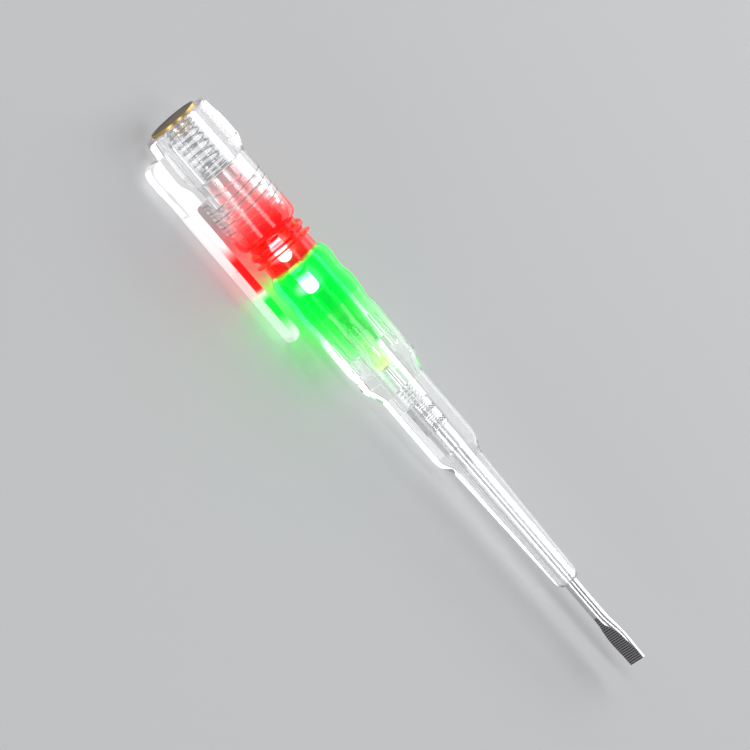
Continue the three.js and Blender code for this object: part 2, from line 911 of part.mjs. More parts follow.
// The blade: its plan flares from the shank and its two broad faces taper to the tip.
function bladeBody(start) {
  const half = blade.width / 2;
  const flareEnd = start + blade.flareLength;
  const curveReach = blade.flareCurveShare * blade.flareLength;
  const heelStart = start + blade.flareLength / 2;
  const flatStart = shankEnd - blade.tipLength;
  const plan = new THREE.Shape();
  plan.moveTo(start, -shank.radius);
  plan.bezierCurveTo(
    heelStart, -shank.radius,
    flareEnd - curveReach, -half,
    flareEnd, -half,
  );
  plan.lineTo(shankEnd, -blade.tipWidth / 2);
  plan.lineTo(shankEnd, blade.tipWidth / 2);
  plan.lineTo(flareEnd, half);
  plan.bezierCurveTo(
    flareEnd - curveReach, half,
    heelStart, shank.radius,
    start, shank.radius,
  );
  const thick = 2 * shank.radius;
  const slab = new THREE.ExtrudeGeometry(plan, {
    depth: thick,
    bevelEnabled: false,
    curveSegments: arcSteps,
  });
  const side = new THREE.Shape([
    [start, -shank.radius],
    [heelStart, -blade.heelThickness / 2],
    [flatStart, -blade.tipThickness / 2],
    [shankEnd, -blade.tipThickness / 2],
    [shankEnd, blade.tipThickness / 2],
    [flatStart, blade.tipThickness / 2],
    [heelStart, blade.heelThickness / 2],
    [start, shank.radius],
  ].map(([x, z]) => new THREE.Vector2(x, z)));
  const wedge = new THREE.ExtrudeGeometry(side, { depth: 2 * blade.width, bevelEnabled: false });
  wedge.translate(0, 0, -blade.width).rotateX(Math.PI / 2);
  return toGeometry(toSolid(slab.translate(0, 0, -shank.radius)).intersect(toSolid(wedge)));
}

addPiece('rear_housing', rearHousing(), 'clear');
addPiece('pocket_clip', clipBar(), 'clear');
addPiece('front_housing', frontHousing(), 'clear');
addPiece('touch_contact', touchContact(), 'brass');
addPiece('rear_spring', springGeometry(rearCoil, rearSpringStart), 'steel');
for (let i = 0; i < cell.count; i += 1) {
  addPiece(`cell_${i + 1}`, buttonCell(cellStart + i * cellPitch), 'steel');
}
addPiece('cell_plate', cellPlate(), 'brass');

const boardGroup = groupTurnedFromClip(board.turnFromClip);
addPiece('circuit_board', circuitBoard(), 'board', boardGroup);
const lamps = [
  ['red_led', redStart, 'redLamp'],
  ['green_led', greenStart, 'greenLamp'],
];
lamps.forEach(([name, start, finish]) => {
  addPiece(name, lamp(start), finish, boardGroup);
  ['a', 'b'].forEach((letter, i) => {
    const side = (i - 0.5) * led.leadSpacing;
    const lead = bentWire(start - seatGap, start - lampLeadReach, side, lampHeight);
    addPiece(`${name}_lead_${letter}`, lead, 'steel', boardGroup);
  });
});
addPiece('battery_lead', bentWire(cellBoreEnd, batteryHole[0], batteryHole[1], wire.bend), 'brass',
  boardGroup);
addPiece('sensing_chip', leggedChip(chip, chipLegs()), 'blackResin', boardGroup);
addPiece('transistor', leggedChip(transistor, transistorLegs()), 'blackResin', boardGroup);
addPiece('chip_resistor', chipResistor(), 'blackResin', boardGroup);
addPiece('chip_capacitor', chipCapacitor(), 'ceramic', boardGroup);
addPiece('series_resistor', seriesResistor(), 'paleYellow');
addPiece('resistor_lead', bentWire(resistorStart - seatGap, resistorHole[0], resistorHole[1],
  wire.bend), 'steel', boardGroup);
addPiece('contact_pin', contactPin(), 'steel');
addPiece('front_spring', springGeometry(frontCoil, frontSpringStart), 'steel');
addPiece('shank', steelShank(), 'steel', groupTurnedFromClip(blade.turnFromClip));

console.log('least gap between turns of the rear spring', leastTurnGap(rearCoil).toFixed(2));
console.log('least gap between turns of the front spring', leastTurnGap(frontCoil).toFixed(2));

// The tool rolls until the clip's outer edge and the head collar stand on the same ground.
const clipCorner = Math.hypot(clipTop, clip.width / 2);
const cornerAngle = Math.atan2(clip.width / 2, clipTop);
const roll = Math.asin(rear.collarRadius / clipCorner) - cornerAngle;
tool.rotation.x = roll;
tool.updateMatrixWorld(true);
const bounds = new THREE.Box3().setFromObject(tool, true);
const middle = bounds.getCenter(new THREE.Vector3());
tool.position.set(-middle.x, -middle.y, -bounds.min.z);

const group = new THREE.Group();
group.add(tool);

export default group;
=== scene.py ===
import bpy
import bmesh
import json
import math
from mathutils import Matrix, Vector


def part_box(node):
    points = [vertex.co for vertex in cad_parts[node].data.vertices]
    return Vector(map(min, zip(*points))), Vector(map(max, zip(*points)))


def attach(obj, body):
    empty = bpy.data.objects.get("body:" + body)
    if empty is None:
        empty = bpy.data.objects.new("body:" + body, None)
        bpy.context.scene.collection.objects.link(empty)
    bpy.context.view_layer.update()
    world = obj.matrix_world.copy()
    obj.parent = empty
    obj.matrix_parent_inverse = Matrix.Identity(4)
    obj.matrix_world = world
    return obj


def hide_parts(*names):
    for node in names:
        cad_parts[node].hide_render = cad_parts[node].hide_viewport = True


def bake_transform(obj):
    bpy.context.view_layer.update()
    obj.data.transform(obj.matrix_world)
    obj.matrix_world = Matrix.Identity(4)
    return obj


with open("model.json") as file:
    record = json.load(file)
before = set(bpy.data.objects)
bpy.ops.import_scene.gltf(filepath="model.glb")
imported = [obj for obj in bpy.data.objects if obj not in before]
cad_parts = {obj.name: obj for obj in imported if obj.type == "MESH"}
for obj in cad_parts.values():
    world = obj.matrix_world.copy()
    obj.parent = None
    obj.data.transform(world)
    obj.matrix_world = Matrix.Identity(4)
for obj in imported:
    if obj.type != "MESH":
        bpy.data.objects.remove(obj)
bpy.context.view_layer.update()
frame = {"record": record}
print("frame loaded")

# the tool's own frame is in millimetres: x from the touch disc to the blade, the clip on -y
millimetre = 0.001
mounts = {mount["name"]: mount for mount in frame["record"]["mounts"]}
tail = Vector(mounts["touch_face"]["pos_m"])
fromClip = Vector(mounts["clip_underside"]["axis"])
bladeFace = Vector(mounts["blade_flat"]["axis"])
roll = math.atan2(fromClip.z, fromClip.y)
toolPlace = Matrix.Translation(tail) @ Matrix.Rotation(roll, 4, "X") @ Matrix.Scale(millimetre, 4)


# how far a point lies along the tool
def alongTool(point):
    return (point.x - tail.x) / millimetre


# where a node starts and ends along the tool
def span(node):
    low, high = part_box(node)
    return alongTool(low), alongTool(high)


def lerp(a, b, share):
    return a + (b - a) * share


# a share that leaves 0 and reaches 1 gently
def eased(share):
    return share * share * (3 - 2 * share)


# sines and cosines round a quarter circle
def quarter(steps):
    angles = [k / steps * math.pi / 2 for k in range(steps + 1)]
    return [(math.sin(angle), math.cos(angle)) for angle in angles]


def addObject(name, data):
    thing = bpy.data.objects.new(name, data)
    bpy.context.scene.collection.objects.link(thing)
    return thing


def newPiece(bm, name, place=toolPlace):
    bmesh.ops.transform(bm, matrix=place, space=Matrix.Identity(4), verts=bm.verts)
    mesh = bpy.data.meshes.new(name)
    bm.to_mesh(mesh)
    bm.free()
    return addObject(name, mesh)


def newMaterial(name, **sockets):
    material = bpy.data.materials.new(name)
    material.use_nodes = True
    shader = material.node_tree.nodes["Principled BSDF"]
    for key, value in sockets.items():
        shader.inputs[key.replace("_", " ")].default_value = value
    return material, material.node_tree, shader


# camera: the tool runs down to the right, its tail a little nearer
photo = {
    "size": 750,
    "tailPixel": (172.4, 119.4),
    "tipPixel": (638.6, 661.3),
    "elevation": math.radians(38.2),
    "tailNearer": math.radians(7.5),
    "lens": 800,
    "sensor": 36,
    "clipEnd": 20,
}


def placeCamera():
    tip = span("shank")[1] * millimetre
    toCamera = Vector((
        -math.sin(photo["tailNearer"]),
        -math.cos(photo["tailNearer"]) * math.cos(photo["elevation"]),
        math.cos(photo["tailNearer"]) * math.sin(photo["elevation"]),
    ))
    alongX, alongY = (b - a for a, b in zip(photo["tailPixel"], photo["tipPixel"]))
    seenLength = math.hypot(alongX, alongY)
    across, upward = alongX / seenLength, -alongY / seenLength
    axisSeen = Vector((1, 0, 0)) - toCamera * toCamera.x
    perPixel = axisSeen.length * tip / seenLength
    axisSeen.normalize()
    besideSeen = toCamera.cross(axisSeen)
    right = axisSeen * across - besideSeen * upward
    up = axisSeen * upward + besideSeen * across
    middleX, middleY = ((a + b) / 2 for a, b in zip(photo["tailPixel"], photo["tipPixel"]))
    target = tail + Vector((tip / 2, 0, 0))
    target -= right * (middleX - photo["size"] / 2) * perPixel
    target += up * (middleY - photo["size"] / 2) * perPixel
    distance = photo["size"] * perPixel * photo["lens"] / photo["sensor"]
    data = bpy.data.cameras.new("photoCamera")
    data.lens = photo["lens"]
    data.sensor_width = photo["sensor"]
    data.clip_end = photo["clipEnd"]
    camera = addObject("photoCamera", data)
    turn = Matrix((right, up, toCamera)).transposed().to_4x4()
    camera.matrix_world = Matrix.Translation(target + toCamera * distance) @ turn
    bpy.context.scene.camera = camera


placeCamera()
print("camera placed")

# room: a pale floor, a soft sky and long soft lights beside the tool
room = {
    "floorSize": 8,
    "floorColour": (0.55, 0.555, 0.56, 1),
    "floorRoughness": 0.75,
    "floorGloss": 0.2,
    "skyColour": (0.93, 0.95, 1, 1),
    "skyStrength": 0.3,
    "lights": [
        # name, place, size along x, size across, watts
        ("backSoftbox", (0.1, 0.59, 0.81), 1.2, 0.65, 4.6),
        ("backCard", (0.05, 0.9, 0.3), 1.4, 0.5, 5),
        ("frontStrip", (0.05, -0.42, 0.8), 0.9, 0.2, 2.2),
        ("lowStrip", (0, -0.8, 0.12), 0.9, 0.18, 2.4),
        ("tailPanel", (-0.8, -0.25, 0.45), 0.3, 0.3, 0.3),
    ],
}


def buildRoom():
    bm = bmesh.new()
    bmesh.ops.create_grid(bm, x_segments=4, y_segments=4, size=room["floorSize"] / 2)
    floor = newPiece(bm, "floor", Matrix.Identity(4))
    paint = newMaterial("floorPaint", Base_Color=room["floorColour"], Roughness=room["floorRoughness"],
                        Specular_IOR_Level=room["floorGloss"])[0]
    floor.data.materials.append(paint)
    world = bpy.data.worlds.new("softSky")
    bpy.context.scene.world = world
    world.use_nodes = True
    sky = world.node_tree.nodes["Background"]
    sky.inputs["Color"].default_value = room["skyColour"]
    sky.inputs["Strength"].default_value = room["skyStrength"]
    for name, place, sizeX, sizeY, watts in room["lights"]:
        data = bpy.data.lights.new(name, "AREA")
        data.shape = "RECTANGLE"
        data.size = sizeX
        data.size_y = sizeY
        data.energy = watts
        light = addObject(name, data)
        light.location = place
        light.rotation_euler = (-Vector(place)).to_track_quat("-Z", "Y").to_euler()
    bpy.context.scene.view_settings.view_transform = "Standard"


buildRoom()
print("room built")


def addNode(tree, kind, settings=None, **inputs):
    node = tree.nodes.new(kind)
    for key, value in (settings or {}).items():
        setattr(node, key, value)
    for key, value in inputs.items():
        socket = node.inputs[int(key[1:])] if key[0] == "_" else node.inputs[key.replace("_", " ")]
        if isinstance(value, bpy.types.NodeSocket):
            tree.links.new(value, socket)
        else:
            socket.default_value = value
    return node


def objectPlace(tree):
    return addNode(tree, "ShaderNodeTexCoord").outputs["Object"]


def addNoise(tree, place, scale, detail, roughness):
    return addNode(tree, "ShaderNodeTexNoise", Vector=place, Detail=detail, Roughness=roughness,
                   Scale=scale).outputs["Fac"]


def addMath(tree, operation, *values):
    inputs = {f"_{i}": value for i, value in enumerate(values)}
    return addNode(tree, "ShaderNodeMath", {"operation": operation}, **inputs).outputs[0]


# goes gently from low to high as a value goes from start to end
def addFade(tree, value, start, end, low=0.0, high=1.0):
    fade = addNode(tree, "ShaderNodeMapRange", {"interpolation_type": "SMOOTHSTEP"}, Value=value,
                   From_Min=start, From_Max=end, To_Min=low, To_Max=high)
    return fade.outputs["Result"]


def blendColours(tree, mask, low, high, kind="MIX"):
    mix = addNode(tree, "ShaderNodeMix", {"data_type": "RGBA", "blend_type": kind}, _0=mask, _6=low,
                  _7=high)
    return mix.outputs[2]


def addRoughness(tree, shader, mask, low, high):
    rough = addNode(tree, "ShaderNodeMapRange", Value=mask, To_Min=low, To_Max=high)
    tree.links.new(rough.outputs["Result"], shader.inputs["Roughness"])


def addBump(tree, shader, height, strength, distance):
    bump = addNode(tree, "ShaderNodeBump", Height=height, Strength=strength, Distance=distance)
    tree.links.new(bump.outputs["Normal"], shader.inputs["Normal"])


# a shader group that several finishes share: a number makes a float input, a tuple a vector
def newGroup(name, inputs, outputs):
    group = bpy.data.node_groups.new(name, "ShaderNodeTree")
    for label, value in inputs.items():
        kind = "NodeSocketVector" if isinstance(value, tuple) else "NodeSocketFloat"
        socket = group.interface.new_socket(name=label, in_out="INPUT", socket_type=kind)
        socket.default_value = value
    for label in outputs:
        group.interface.new_socket(name=label, in_out="OUTPUT", socket_type="NodeSocketFloat")
    return group, group.nodes.new("NodeGroupInput").outputs, group.nodes.new("NodeGroupOutput").inputs


def useGroup(tree, group, **inputs):
    return addNode(tree, "ShaderNodeGroup", {"node_tree": group}, **inputs).outputs


# cloudy patches and fine speckle, both 0 to 1
def buildGrain():
    group, given, out = newGroup("surfaceGrain", {"Patch Scale": 200, "Speckle Scale": 3000},
                                 ["Patches", "Speckle"])
    place = objectPlace(group)
    patches = addNoise(group, place, given["Patch Scale"], 3, 0.6)
    speckle = addNoise(group, place, given["Speckle Scale"], 2, 0.5)
    group.links.new(patches, out["Patches"])
    group.links.new(speckle, out["Speckle"])
    return group


# where painted lamp light lies on what is round the lamps, in mm along the axis
lampGlow = {
    "red": {"rise": (13.5, 20), "riseLean": 1.35, "fall": (39, 40.8), "fallLean": 0.0},
    "green": {"rise": (38.4, 40.2), "riseLean": 0.0, "fall": (60, 78), "fallLean": 1.5},
    "cells": {"rise": (9, 21), "riseLean": 0.0, "fall": (38, 40), "fallLean": 0.0},
    "clipRed": {"rise": (25.5, 31), "riseLean": 0.0, "fall": (38.2, 40), "fallLean": 0.0},
    "clipGreen": {"rise": (38.6, 41.5), "riseLean": 0.0, "fall": (44.5, 52), "fallLean": 0.0},
    "riseCurve": 1.6,
    "reach": (10.3, 12.4),
    "clipReach": (12.1, 13.2),
    "waver": 2,
    "waverScale": 180,
    "halo": (1.4, 3.0),
}


# how strongly a place is painted with a lamp's light: it rises and falls along the tool, each edge leans as
# the place lies further from the tool's axis, and past its reach the painted light fades
def buildLampGlow():
    group, given, out = newGroup("lampGlow", {
        "Rise Start": 0, "Rise End": 0.01, "Rise Lean": 1,
        "Fall Start": 0.02, "Fall End": 0.03, "Fall Lean": 1,
        "Reach Start": 0.008, "Reach End": 0.012, "Waver": 0.002,
    }, ["Mask"])
    place = objectPlace(group)
    centred = addNode(group, "ShaderNodeVectorMath", {"operation": "SUBTRACT"}, _0=place,
                      _1=(0, tail.y, tail.z))
    parts = addNode(group, "ShaderNodeSeparateXYZ", Vector=centred.outputs[0]).outputs
    across = addNode(group, "ShaderNodeCombineXYZ", Y=parts["Y"], Z=parts["Z"]).outputs[0]
    radius = addNode(group, "ShaderNodeVectorMath", {"operation": "LENGTH"}, _0=across).outputs["Value"]
    blur = addMath(group, "SUBTRACT", addNoise(group, place, lampGlow["waverScale"], 2, 0.5), 0.5)
    moved = addMath(group, "MULTIPLY_ADD", blur, given["Waver"], parts["X"])
    back = addMath(group, "MULTIPLY", given["Rise Lean"], -1.0)
    rising = addMath(group, "MULTIPLY_ADD", radius, back, moved)
    falling = addMath(group, "MULTIPLY_ADD", radius, given["Fall Lean"], moved)
    rise = addFade(group, rising, given["Rise Start"], given["Rise End"])
    fall = addFade(group, falling, given["Fall Start"], given["Fall End"], 1.0, 0.0)
    reach = addFade(group, radius, given["Reach Start"], given["Reach End"], 1.0, 0.0)
    slow = addMath(group, "POWER", rise, lampGlow["riseCurve"])
    both = addMath(group, "MULTIPLY", slow, fall)
    group.links.new(addMath(group, "MULTIPLY", both, reach), out["Mask"])
    return group


# the brightest painted glow, close round a lamp
def buildLampHalo():
    group, given, out = newGroup("lampHalo", {"Centre": (0, 0, 0), "Full": 0.002, "Gone": 0.004}, ["Mask"])
    away = addNode(group, "ShaderNodeVectorMath", {"operation": "DISTANCE"}, _0=objectPlace(group),
                   _1=given["Centre"])
    fade = addFade(group, away.outputs["Value"], given["Full"], given["Gone"], 1.0, 0.0)
    group.links.new(fade, out["Mask"])
    return group


grainGroup = buildGrain()
glowGroup = buildLampGlow()
haloGroup = buildLampHalo()


def addGrain(tree, patchScale, speckleScale):
    return useGroup(tree, grainGroup, Patch_Scale=patchScale, Speckle_Scale=speckleScale)


def addGlow(tree, place, reach="reach"):
    facts = lampGlow[place]
    riseStart, riseEnd, fallStart, fallEnd = (
        tail.x + mm * millimetre for mm in (*facts["rise"], *facts["fall"]))
    reachStart, reachEnd = (mm * millimetre for mm in lampGlow[reach])
    return useGroup(tree, glowGroup, Rise_Start=riseStart, Rise_End=riseEnd,
                    Rise_Lean=facts["riseLean"], Fall_Start=fallStart, Fall_End=fallEnd,
                    Fall_Lean=facts["fallLean"], Reach_Start=reachStart, Reach_End=reachEnd,
                    Waver=lampGlow["waver"] * millimetre)["Mask"]


def addHalo(tree, node):
    low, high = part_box(node)
    full, gone = (mm * millimetre for mm in lampGlow["halo"])
    return useGroup(tree, haloGroup, Centre=(low + high) / 2, Full=full, Gone=gone)["Mask"]


black = (0, 0, 0, 1)
clearPlastic = {
    "clear": (0.985, 0.99, 0.995, 1),
    # painted lamp light near the red and green lamps: a tint on the plastic, a glow, and a brighter glow
    # round each lamp
    "paintedRedTint": (1, 0.04, 0.04, 1),
    "paintedGreenTint": (0.02, 1, 0.09, 1),
    "redLight": (1, 0.0, 0.0, 1),
    "greenLight": (0.0, 1, 0.07, 1),
    "redHalo": (3, 7, 7, 1),
    "greenHalo": (12, 4, 8, 1),
    "glowStrength": 0.6,
    "transmission": 0.95,
    "refraction": 1.49,
    "grain": (90, 1500),
    "roughest": 0.06,
    "bump": 0.05,
    "bumpDepth": 0.0002,
    # a light that comes through is gathered where it meets a face squarely, and lost at the edges
    "gathered": (1.12, 1.12, 1.12, 1),
    "lost": (0.3, 0.3, 0.3, 1),
}


# the plastic gives off a painted white glow all over, as strong as the first setting says, and shine is a
# colour painted on its reflections
def makeClearPlastic(name, paintedGlow=0.14, shine=(1, 1, 1, 1), zones=("red", "green", "reach")):
    material, tree, shader = newMaterial(
        name, Transmission_Weight=clearPlastic["transmission"], IOR=clearPlastic["refraction"],
        Specular_Tint=shine, Emission_Strength=clearPlastic["glowStrength"],
    )
    redZone, greenZone, reach = zones
    red = addGlow(tree, redZone, reach)
    green = addGlow(tree, greenZone, reach)
    # the clear plastic is coloured red and green near the lamps: painted lamp light
    paintedTint = blendColours(tree, red, clearPlastic["clear"], clearPlastic["paintedRedTint"])
    paintedTint = blendColours(tree, green, paintedTint, clearPlastic["paintedGreenTint"], "MULTIPLY")
    tree.links.new(paintedTint, shader.inputs["Base Color"])
    # painted light: a white glow away from the lamps, and red and green lamp light near them
    lit = blendColours(tree, red, (paintedGlow, paintedGlow, paintedGlow, 1), clearPlastic["redLight"])
    lit = blendColours(tree, green, lit, clearPlastic["greenLight"])
    # the painted glow is put on the plastic's outside, and isn't seen from inside its wall
    inside = addNode(tree, "ShaderNodeNewGeometry").outputs["Backfacing"]
    lit = blendColours(tree, inside, lit, black)
    # a painted bright glow in the plastic close round each lamp
    lit = blendColours(tree, addHalo(tree, "red_led"), lit, clearPlastic["redHalo"])
    lit = blendColours(tree, addHalo(tree, "green_led"), lit, clearPlastic["greenHalo"])
    tree.links.new(lit, shader.inputs["Emission Color"])
    patches = addGrain(tree, *clearPlastic["grain"])["Patches"]
    addRoughness(tree, shader, patches, 0.0, clearPlastic["roughest"])
    addBump(tree, shader, patches, clearPlastic["bump"], clearPlastic["bumpDepth"])
    # lights shine through it, so that what it holds and the floor under it are lit
    path = addNode(tree, "ShaderNodeLightPath")
    slant = addNode(tree, "ShaderNodeLayerWeight", Blend=0.5)
    share = blendColours(tree, slant.outputs["Facing"], clearPlastic["gathered"], clearPlastic["lost"])
    passed = blendColours(tree, 1.0, paintedTint, share, "MULTIPLY")
    through = addNode(tree, "ShaderNodeBsdfTransparent", Color=passed)
    either = addNode(tree, "ShaderNodeMixShader", _0=path.outputs["Is Shadow Ray"],
                     _1=shader.outputs["BSDF"], _2=through.outputs["BSDF"])
    tree.links.new(either.outputs["Shader"], tree.nodes["Material Output"].inputs["Surface"])
    return material


# spread is how much smoother and rougher than its mean the speckle makes a finish
metalFinish = {"spread": (0.6, 1.6), "bumpDepth": 0.00005}
grinding = {"scale": 600, "detail": 3.0, "waver": 1.5, "waverScale": 1.5}


# a metal near a lamp is painted with its light, darker and redder and with a red glow, and a ground one has
# marks across it
def makeMetal(name, colour, darker, roughness, patchScale, speckleScale, bump=0.1, lit=None, marks=None):
    material, tree, shader = newMaterial(name, Metallic=1.0)
    grain = addGrain(tree, patchScale, speckleScale)
    colours = blendColours(tree, grain["Patches"], colour, darker)
    height = grain["Speckle"]
    if lit:
        near = addGlow(tree, "cells")
        colours = blendColours(tree, near, colours, lit["metal"])
        tree.links.new(blendColours(tree, near, black, lit["light"]), shader.inputs["Emission Color"])
        shader.inputs["Emission Strength"].default_value = 1
    if marks:
        lines = addNode(tree, "ShaderNodeTexWave", {"bands_direction": "X"}, Vector=objectPlace(tree),
                        Detail=grinding["detail"], Scale=grinding["scale"], Distortion=grinding["waver"],
                        Detail_Scale=grinding["waverScale"])
        height = lines.outputs["Fac"]
        colours = blendColours(tree, height, colours, marks)
    tree.links.new(colours, shader.inputs["Base Color"])
    addRoughness(tree, shader, grain["Speckle"], *(roughness * share for share in metalFinish["spread"]))
    addBump(tree, shader, height, bump, metalFinish["bumpDepth"])
    return material


resinFinish = {"grain": (900, 6000), "spread": (0.8, 1.2), "bump": 0.2, "bumpDepth": 0.00002}


def makeResin(name, colour, other, roughness, coat=0.0):
    material, tree, shader = newMaterial(name, Coat_Weight=coat)
    grain = addGrain(tree, *resinFinish["grain"])
    colours = blendColours(tree, grain["Patches"], colour, other)
    tree.links.new(colours, shader.inputs["Base Color"])
    addRoughness(tree, shader, grain["Speckle"], *(roughness * share for share in resinFinish["spread"]))
    addBump(tree, shader, grain["Speckle"], resinFinish["bump"], resinFinish["bumpDepth"])
    return material


# the heat starts and is full so far behind the top of the dome
lampFinish = {"grain": (500, 3000), "roughness": 0.2, "heatBack": (5, 3)}


# a lit lamp is hottest in its dome, just in front of the die
def makeLamp(name, node, tint, light, hot, strength):
    material, tree, shader = newMaterial(name, Roughness=lampFinish["roughness"], Emission_Strength=strength)
    patches = addGrain(tree, *lampFinish["grain"])["Patches"]
    tree.links.new(blendColours(tree, patches, tint, hot), shader.inputs["Base Color"])
    along = addNode(tree, "ShaderNodeSeparateXYZ", Vector=objectPlace(tree)).outputs["X"]
    domeEnd = span(node)[1]
    hotStart, hotEnd = (tail.x + (domeEnd - back) * millimetre for back in lampFinish["heatBack"])
    heat = addFade(tree, along, hotStart, hotEnd)
    tree.links.new(blendColours(tree, heat, light, hot), shader.inputs["Emission Color"])
    return material


# each moulding finish gives off a painted white glow, faint on the sleeves and heavy on the clip
clear = makeClearPlastic("clearPlastic")
sleeveClear = makeClearPlastic("sleevePlastic", paintedGlow=0.04)
clipClear = makeClearPlastic("clipPlastic", paintedGlow=0.9)
clipSide = makeClearPlastic("clipSidePlastic", paintedGlow=0.9, zones=("clipRed", "clipGreen", "clipReach"))
# copies of the plastic lit by the lamps: their reflections are painted red and green
redLit = makeClearPlastic("redLitPlastic", shine=(1, 0.5, 0.48, 1))
greenLit = makeClearPlastic("greenLitPlastic", shine=(0.12, 1, 0.3, 1))
brass = makeMetal("brushedBrass", (0.72, 0.52, 0.2, 1), (0.45, 0.32, 0.12, 1), 0.28, 300, 2500)
brightWire = makeMetal("brightWire", (0.82, 0.82, 0.84, 1), (0.6, 0.61, 0.63, 1), 0.16, 400, 3000)
springWire = makeMetal("springWire", (0.5, 0.5, 0.52, 1), (0.3, 0.3, 0.32, 1), 0.2, 400, 3000)
darkBrass = makeMetal("darkBrass", (0.2, 0.15, 0.09, 1), (0.12, 0.09, 0.06, 1), 0.4, 500, 3500)
# the cells are painted with the red lamp's light towards the lamp
cellMetal = makeMetal("cellMetal", (0.62, 0.62, 0.63, 1), (0.5, 0.5, 0.51, 1), 0.1, 250, 2500,
                      lit={"metal": (0.42, 0.13, 0.13, 1), "light": (0.5, 0.01, 0.01, 1)})
tinned = makeMetal("tinnedWire", (0.8, 0.8, 0.8, 1), (0.6, 0.6, 0.6, 1), 0.25, 700, 5000)
bladeSteel = makeMetal("bladeSteel", (0.78, 0.78, 0.79, 1), (0.56, 0.56, 0.58, 1), 0.2, 180, 2500)
groundSteel = makeMetal("groundSteel", (0.035, 0.035, 0.04, 1), (0.025, 0.025, 0.03, 1), 0.42, 180, 2500,
                        bump=0.6, marks=(0.36, 0.34, 0.35, 1))
blackResin = makeResin("blackResin", (0.02, 0.02, 0.022, 1), (0.05, 0.05, 0.055, 1), 0.5)
boardMask = makeResin("boardMask", (0.01, 0.12, 0.045, 1), (0.015, 0.16, 0.06, 1), 0.3, 0.3)
tanCeramic = makeResin("tanCeramic", (0.5, 0.36, 0.2, 1), (0.58, 0.43, 0.25, 1), 0.5)
yellowLacquer = makeResin("yellowLacquer", (0.85, 0.7, 0.25, 1), (0.9, 0.78, 0.36, 1), 0.3, 0.4)
gasketNylon = makeResin("gasketNylon", (0.08, 0.08, 0.09, 1), (0.12, 0.12, 0.13, 1), 0.5)
redLampResin = makeLamp("redLampResin", "red_led", (1, 0.05, 0.04, 1), (0.15, 0.002, 0.002, 1),
                        (1, 2.3, 2.5, 1), 15)
greenLampResin = makeLamp("greenLampResin", "green_led", (0.05, 1, 0.2, 1), (0.002, 0.15, 0.01, 1),
                          (2.9, 1, 1.3, 1), 20)
print("finishes made")

# how far the small corners of an outline are rounded or cut
fine, small, soft, wide = 0.1, 0.15, 0.2, 0.3
clearance = 0.3  # between pieces that face each other
overrun = 1  # how far a cutter reaches past what it cuts
mergeDistance = 1e-4


# a corner with a third value is rounded over that length, or less on a short side
def rounded(outline, steps=4, closed=True, most=0.45):
    line = []
    for i, corner in enumerate(outline):
        here = Vector(corner[:2])
        if len(corner) < 3 or (not closed and i in (0, len(outline) - 1)):
            line.append(here)
            continue
        before = Vector(outline[i - 1][:2])
        after = Vector(outline[(i + 1) % len(outline)][:2])
        reach = min(corner[2], most * (before - here).length, most * (after - here).length)
        first = here + (before - here).normalized() * reach
        last = here + (after - here).normalized() * reach
        for k in range(steps + 1):
            share = k / steps
            line.append(first.lerp(here, share).lerp(here.lerp(last, share), share))
    return line


# a line and its mirror image, joined end to end
def mirrored(line):
    return [(x, -y, *more) for x, y, *more in line] + line[::-1]


# a smooth line through stations
def smoothLine(stations, steps):
    padded = [stations[0], *stations, stations[-1]]
    line = []
    for i in range(len(stations) - 1):
        a, b, c, d = (Vector(point) for point in padded[i:i + 4])
        for k in range(steps):
            t = k / steps
            line.append(0.5 * (2 * b + (c - a) * t + (2 * a - 5 * b + 4 * c - d) * t ** 2
                               + (3 * b - a - 3 * c + d) * t ** 3))
    line.append(Vector(stations[-1]))
    return line


# a closed shape with a positive volume has its faces pointing out
def faceOut(bm):
    bmesh.ops.recalc_face_normals(bm, faces=bm.faces)
    if bm.calc_volume(signed=True) < 0:
        bmesh.ops.reverse_faces(bm, faces=bm.faces)


# spins an outline of (x, radius) points about the tool's axis
def turned(outline, steps=96, closed=False):
    bm = bmesh.new()
    verts = [bm.verts.new((x, 0, radius)) for x, radius in outline]
    edges = [bm.edges.new(pair) for pair in zip(verts, verts[1:])]
    if closed:
        edges.append(bm.edges.new((verts[-1], verts[0])))
    bmesh.ops.spin(bm, geom=verts + edges, axis=(1, 0, 0), cent=(0, 0, 0),
                   angle=2 * math.pi, steps=steps, use_merge=True, use_duplicate=False)
    bmesh.ops.remove_doubles(bm, verts=bm.verts, dist=mergeDistance)
    faceOut(bm)
    return bm


# a solid bar, whose outline is closed on the axis at both ends
def turnedBar(outline, corners=4, steps=96):
    line = rounded(outline, corners, closed=False)
    return turned([(line[0][0], 0), *line, (line[-1][0], 0)], steps)


def closeEnds(bm):
    rims = [edge for edge in bm.edges if edge.is_boundary]
    bmesh.ops.holes_fill(bm, edges=rims, sides=0)
    faceOut(bm)


def onlyVerts(geom):
    return [item for item in geom if isinstance(item, bmesh.types.BMVert)]


# a flat outline drawn out along one way
def drawnOut(name, points, way, place=toolPlace):
    bm = bmesh.new()
    face = bm.faces.new([bm.verts.new(point) for point in points])
    grown = bmesh.ops.extrude_face_region(bm, geom=[face])
    bmesh.ops.translate(bm, verts=onlyVerts(grown["geom"]), vec=way)
    faceOut(bm)
    return newPiece(bm, name, place)


# winds an open section round the axis, and gives its last ring
def wind(bm, geom, turns, pitch, steps):
    count = round(turns * steps)
    made = bmesh.ops.spin(bm, geom=geom, axis=(1, 0, 0), cent=(0, 0, 0), angle=2 * math.pi * turns,
                          steps=count, dvec=(pitch * turns / count, 0, 0), use_merge=False,
                          use_duplicate=False)
    return made["geom_last"]


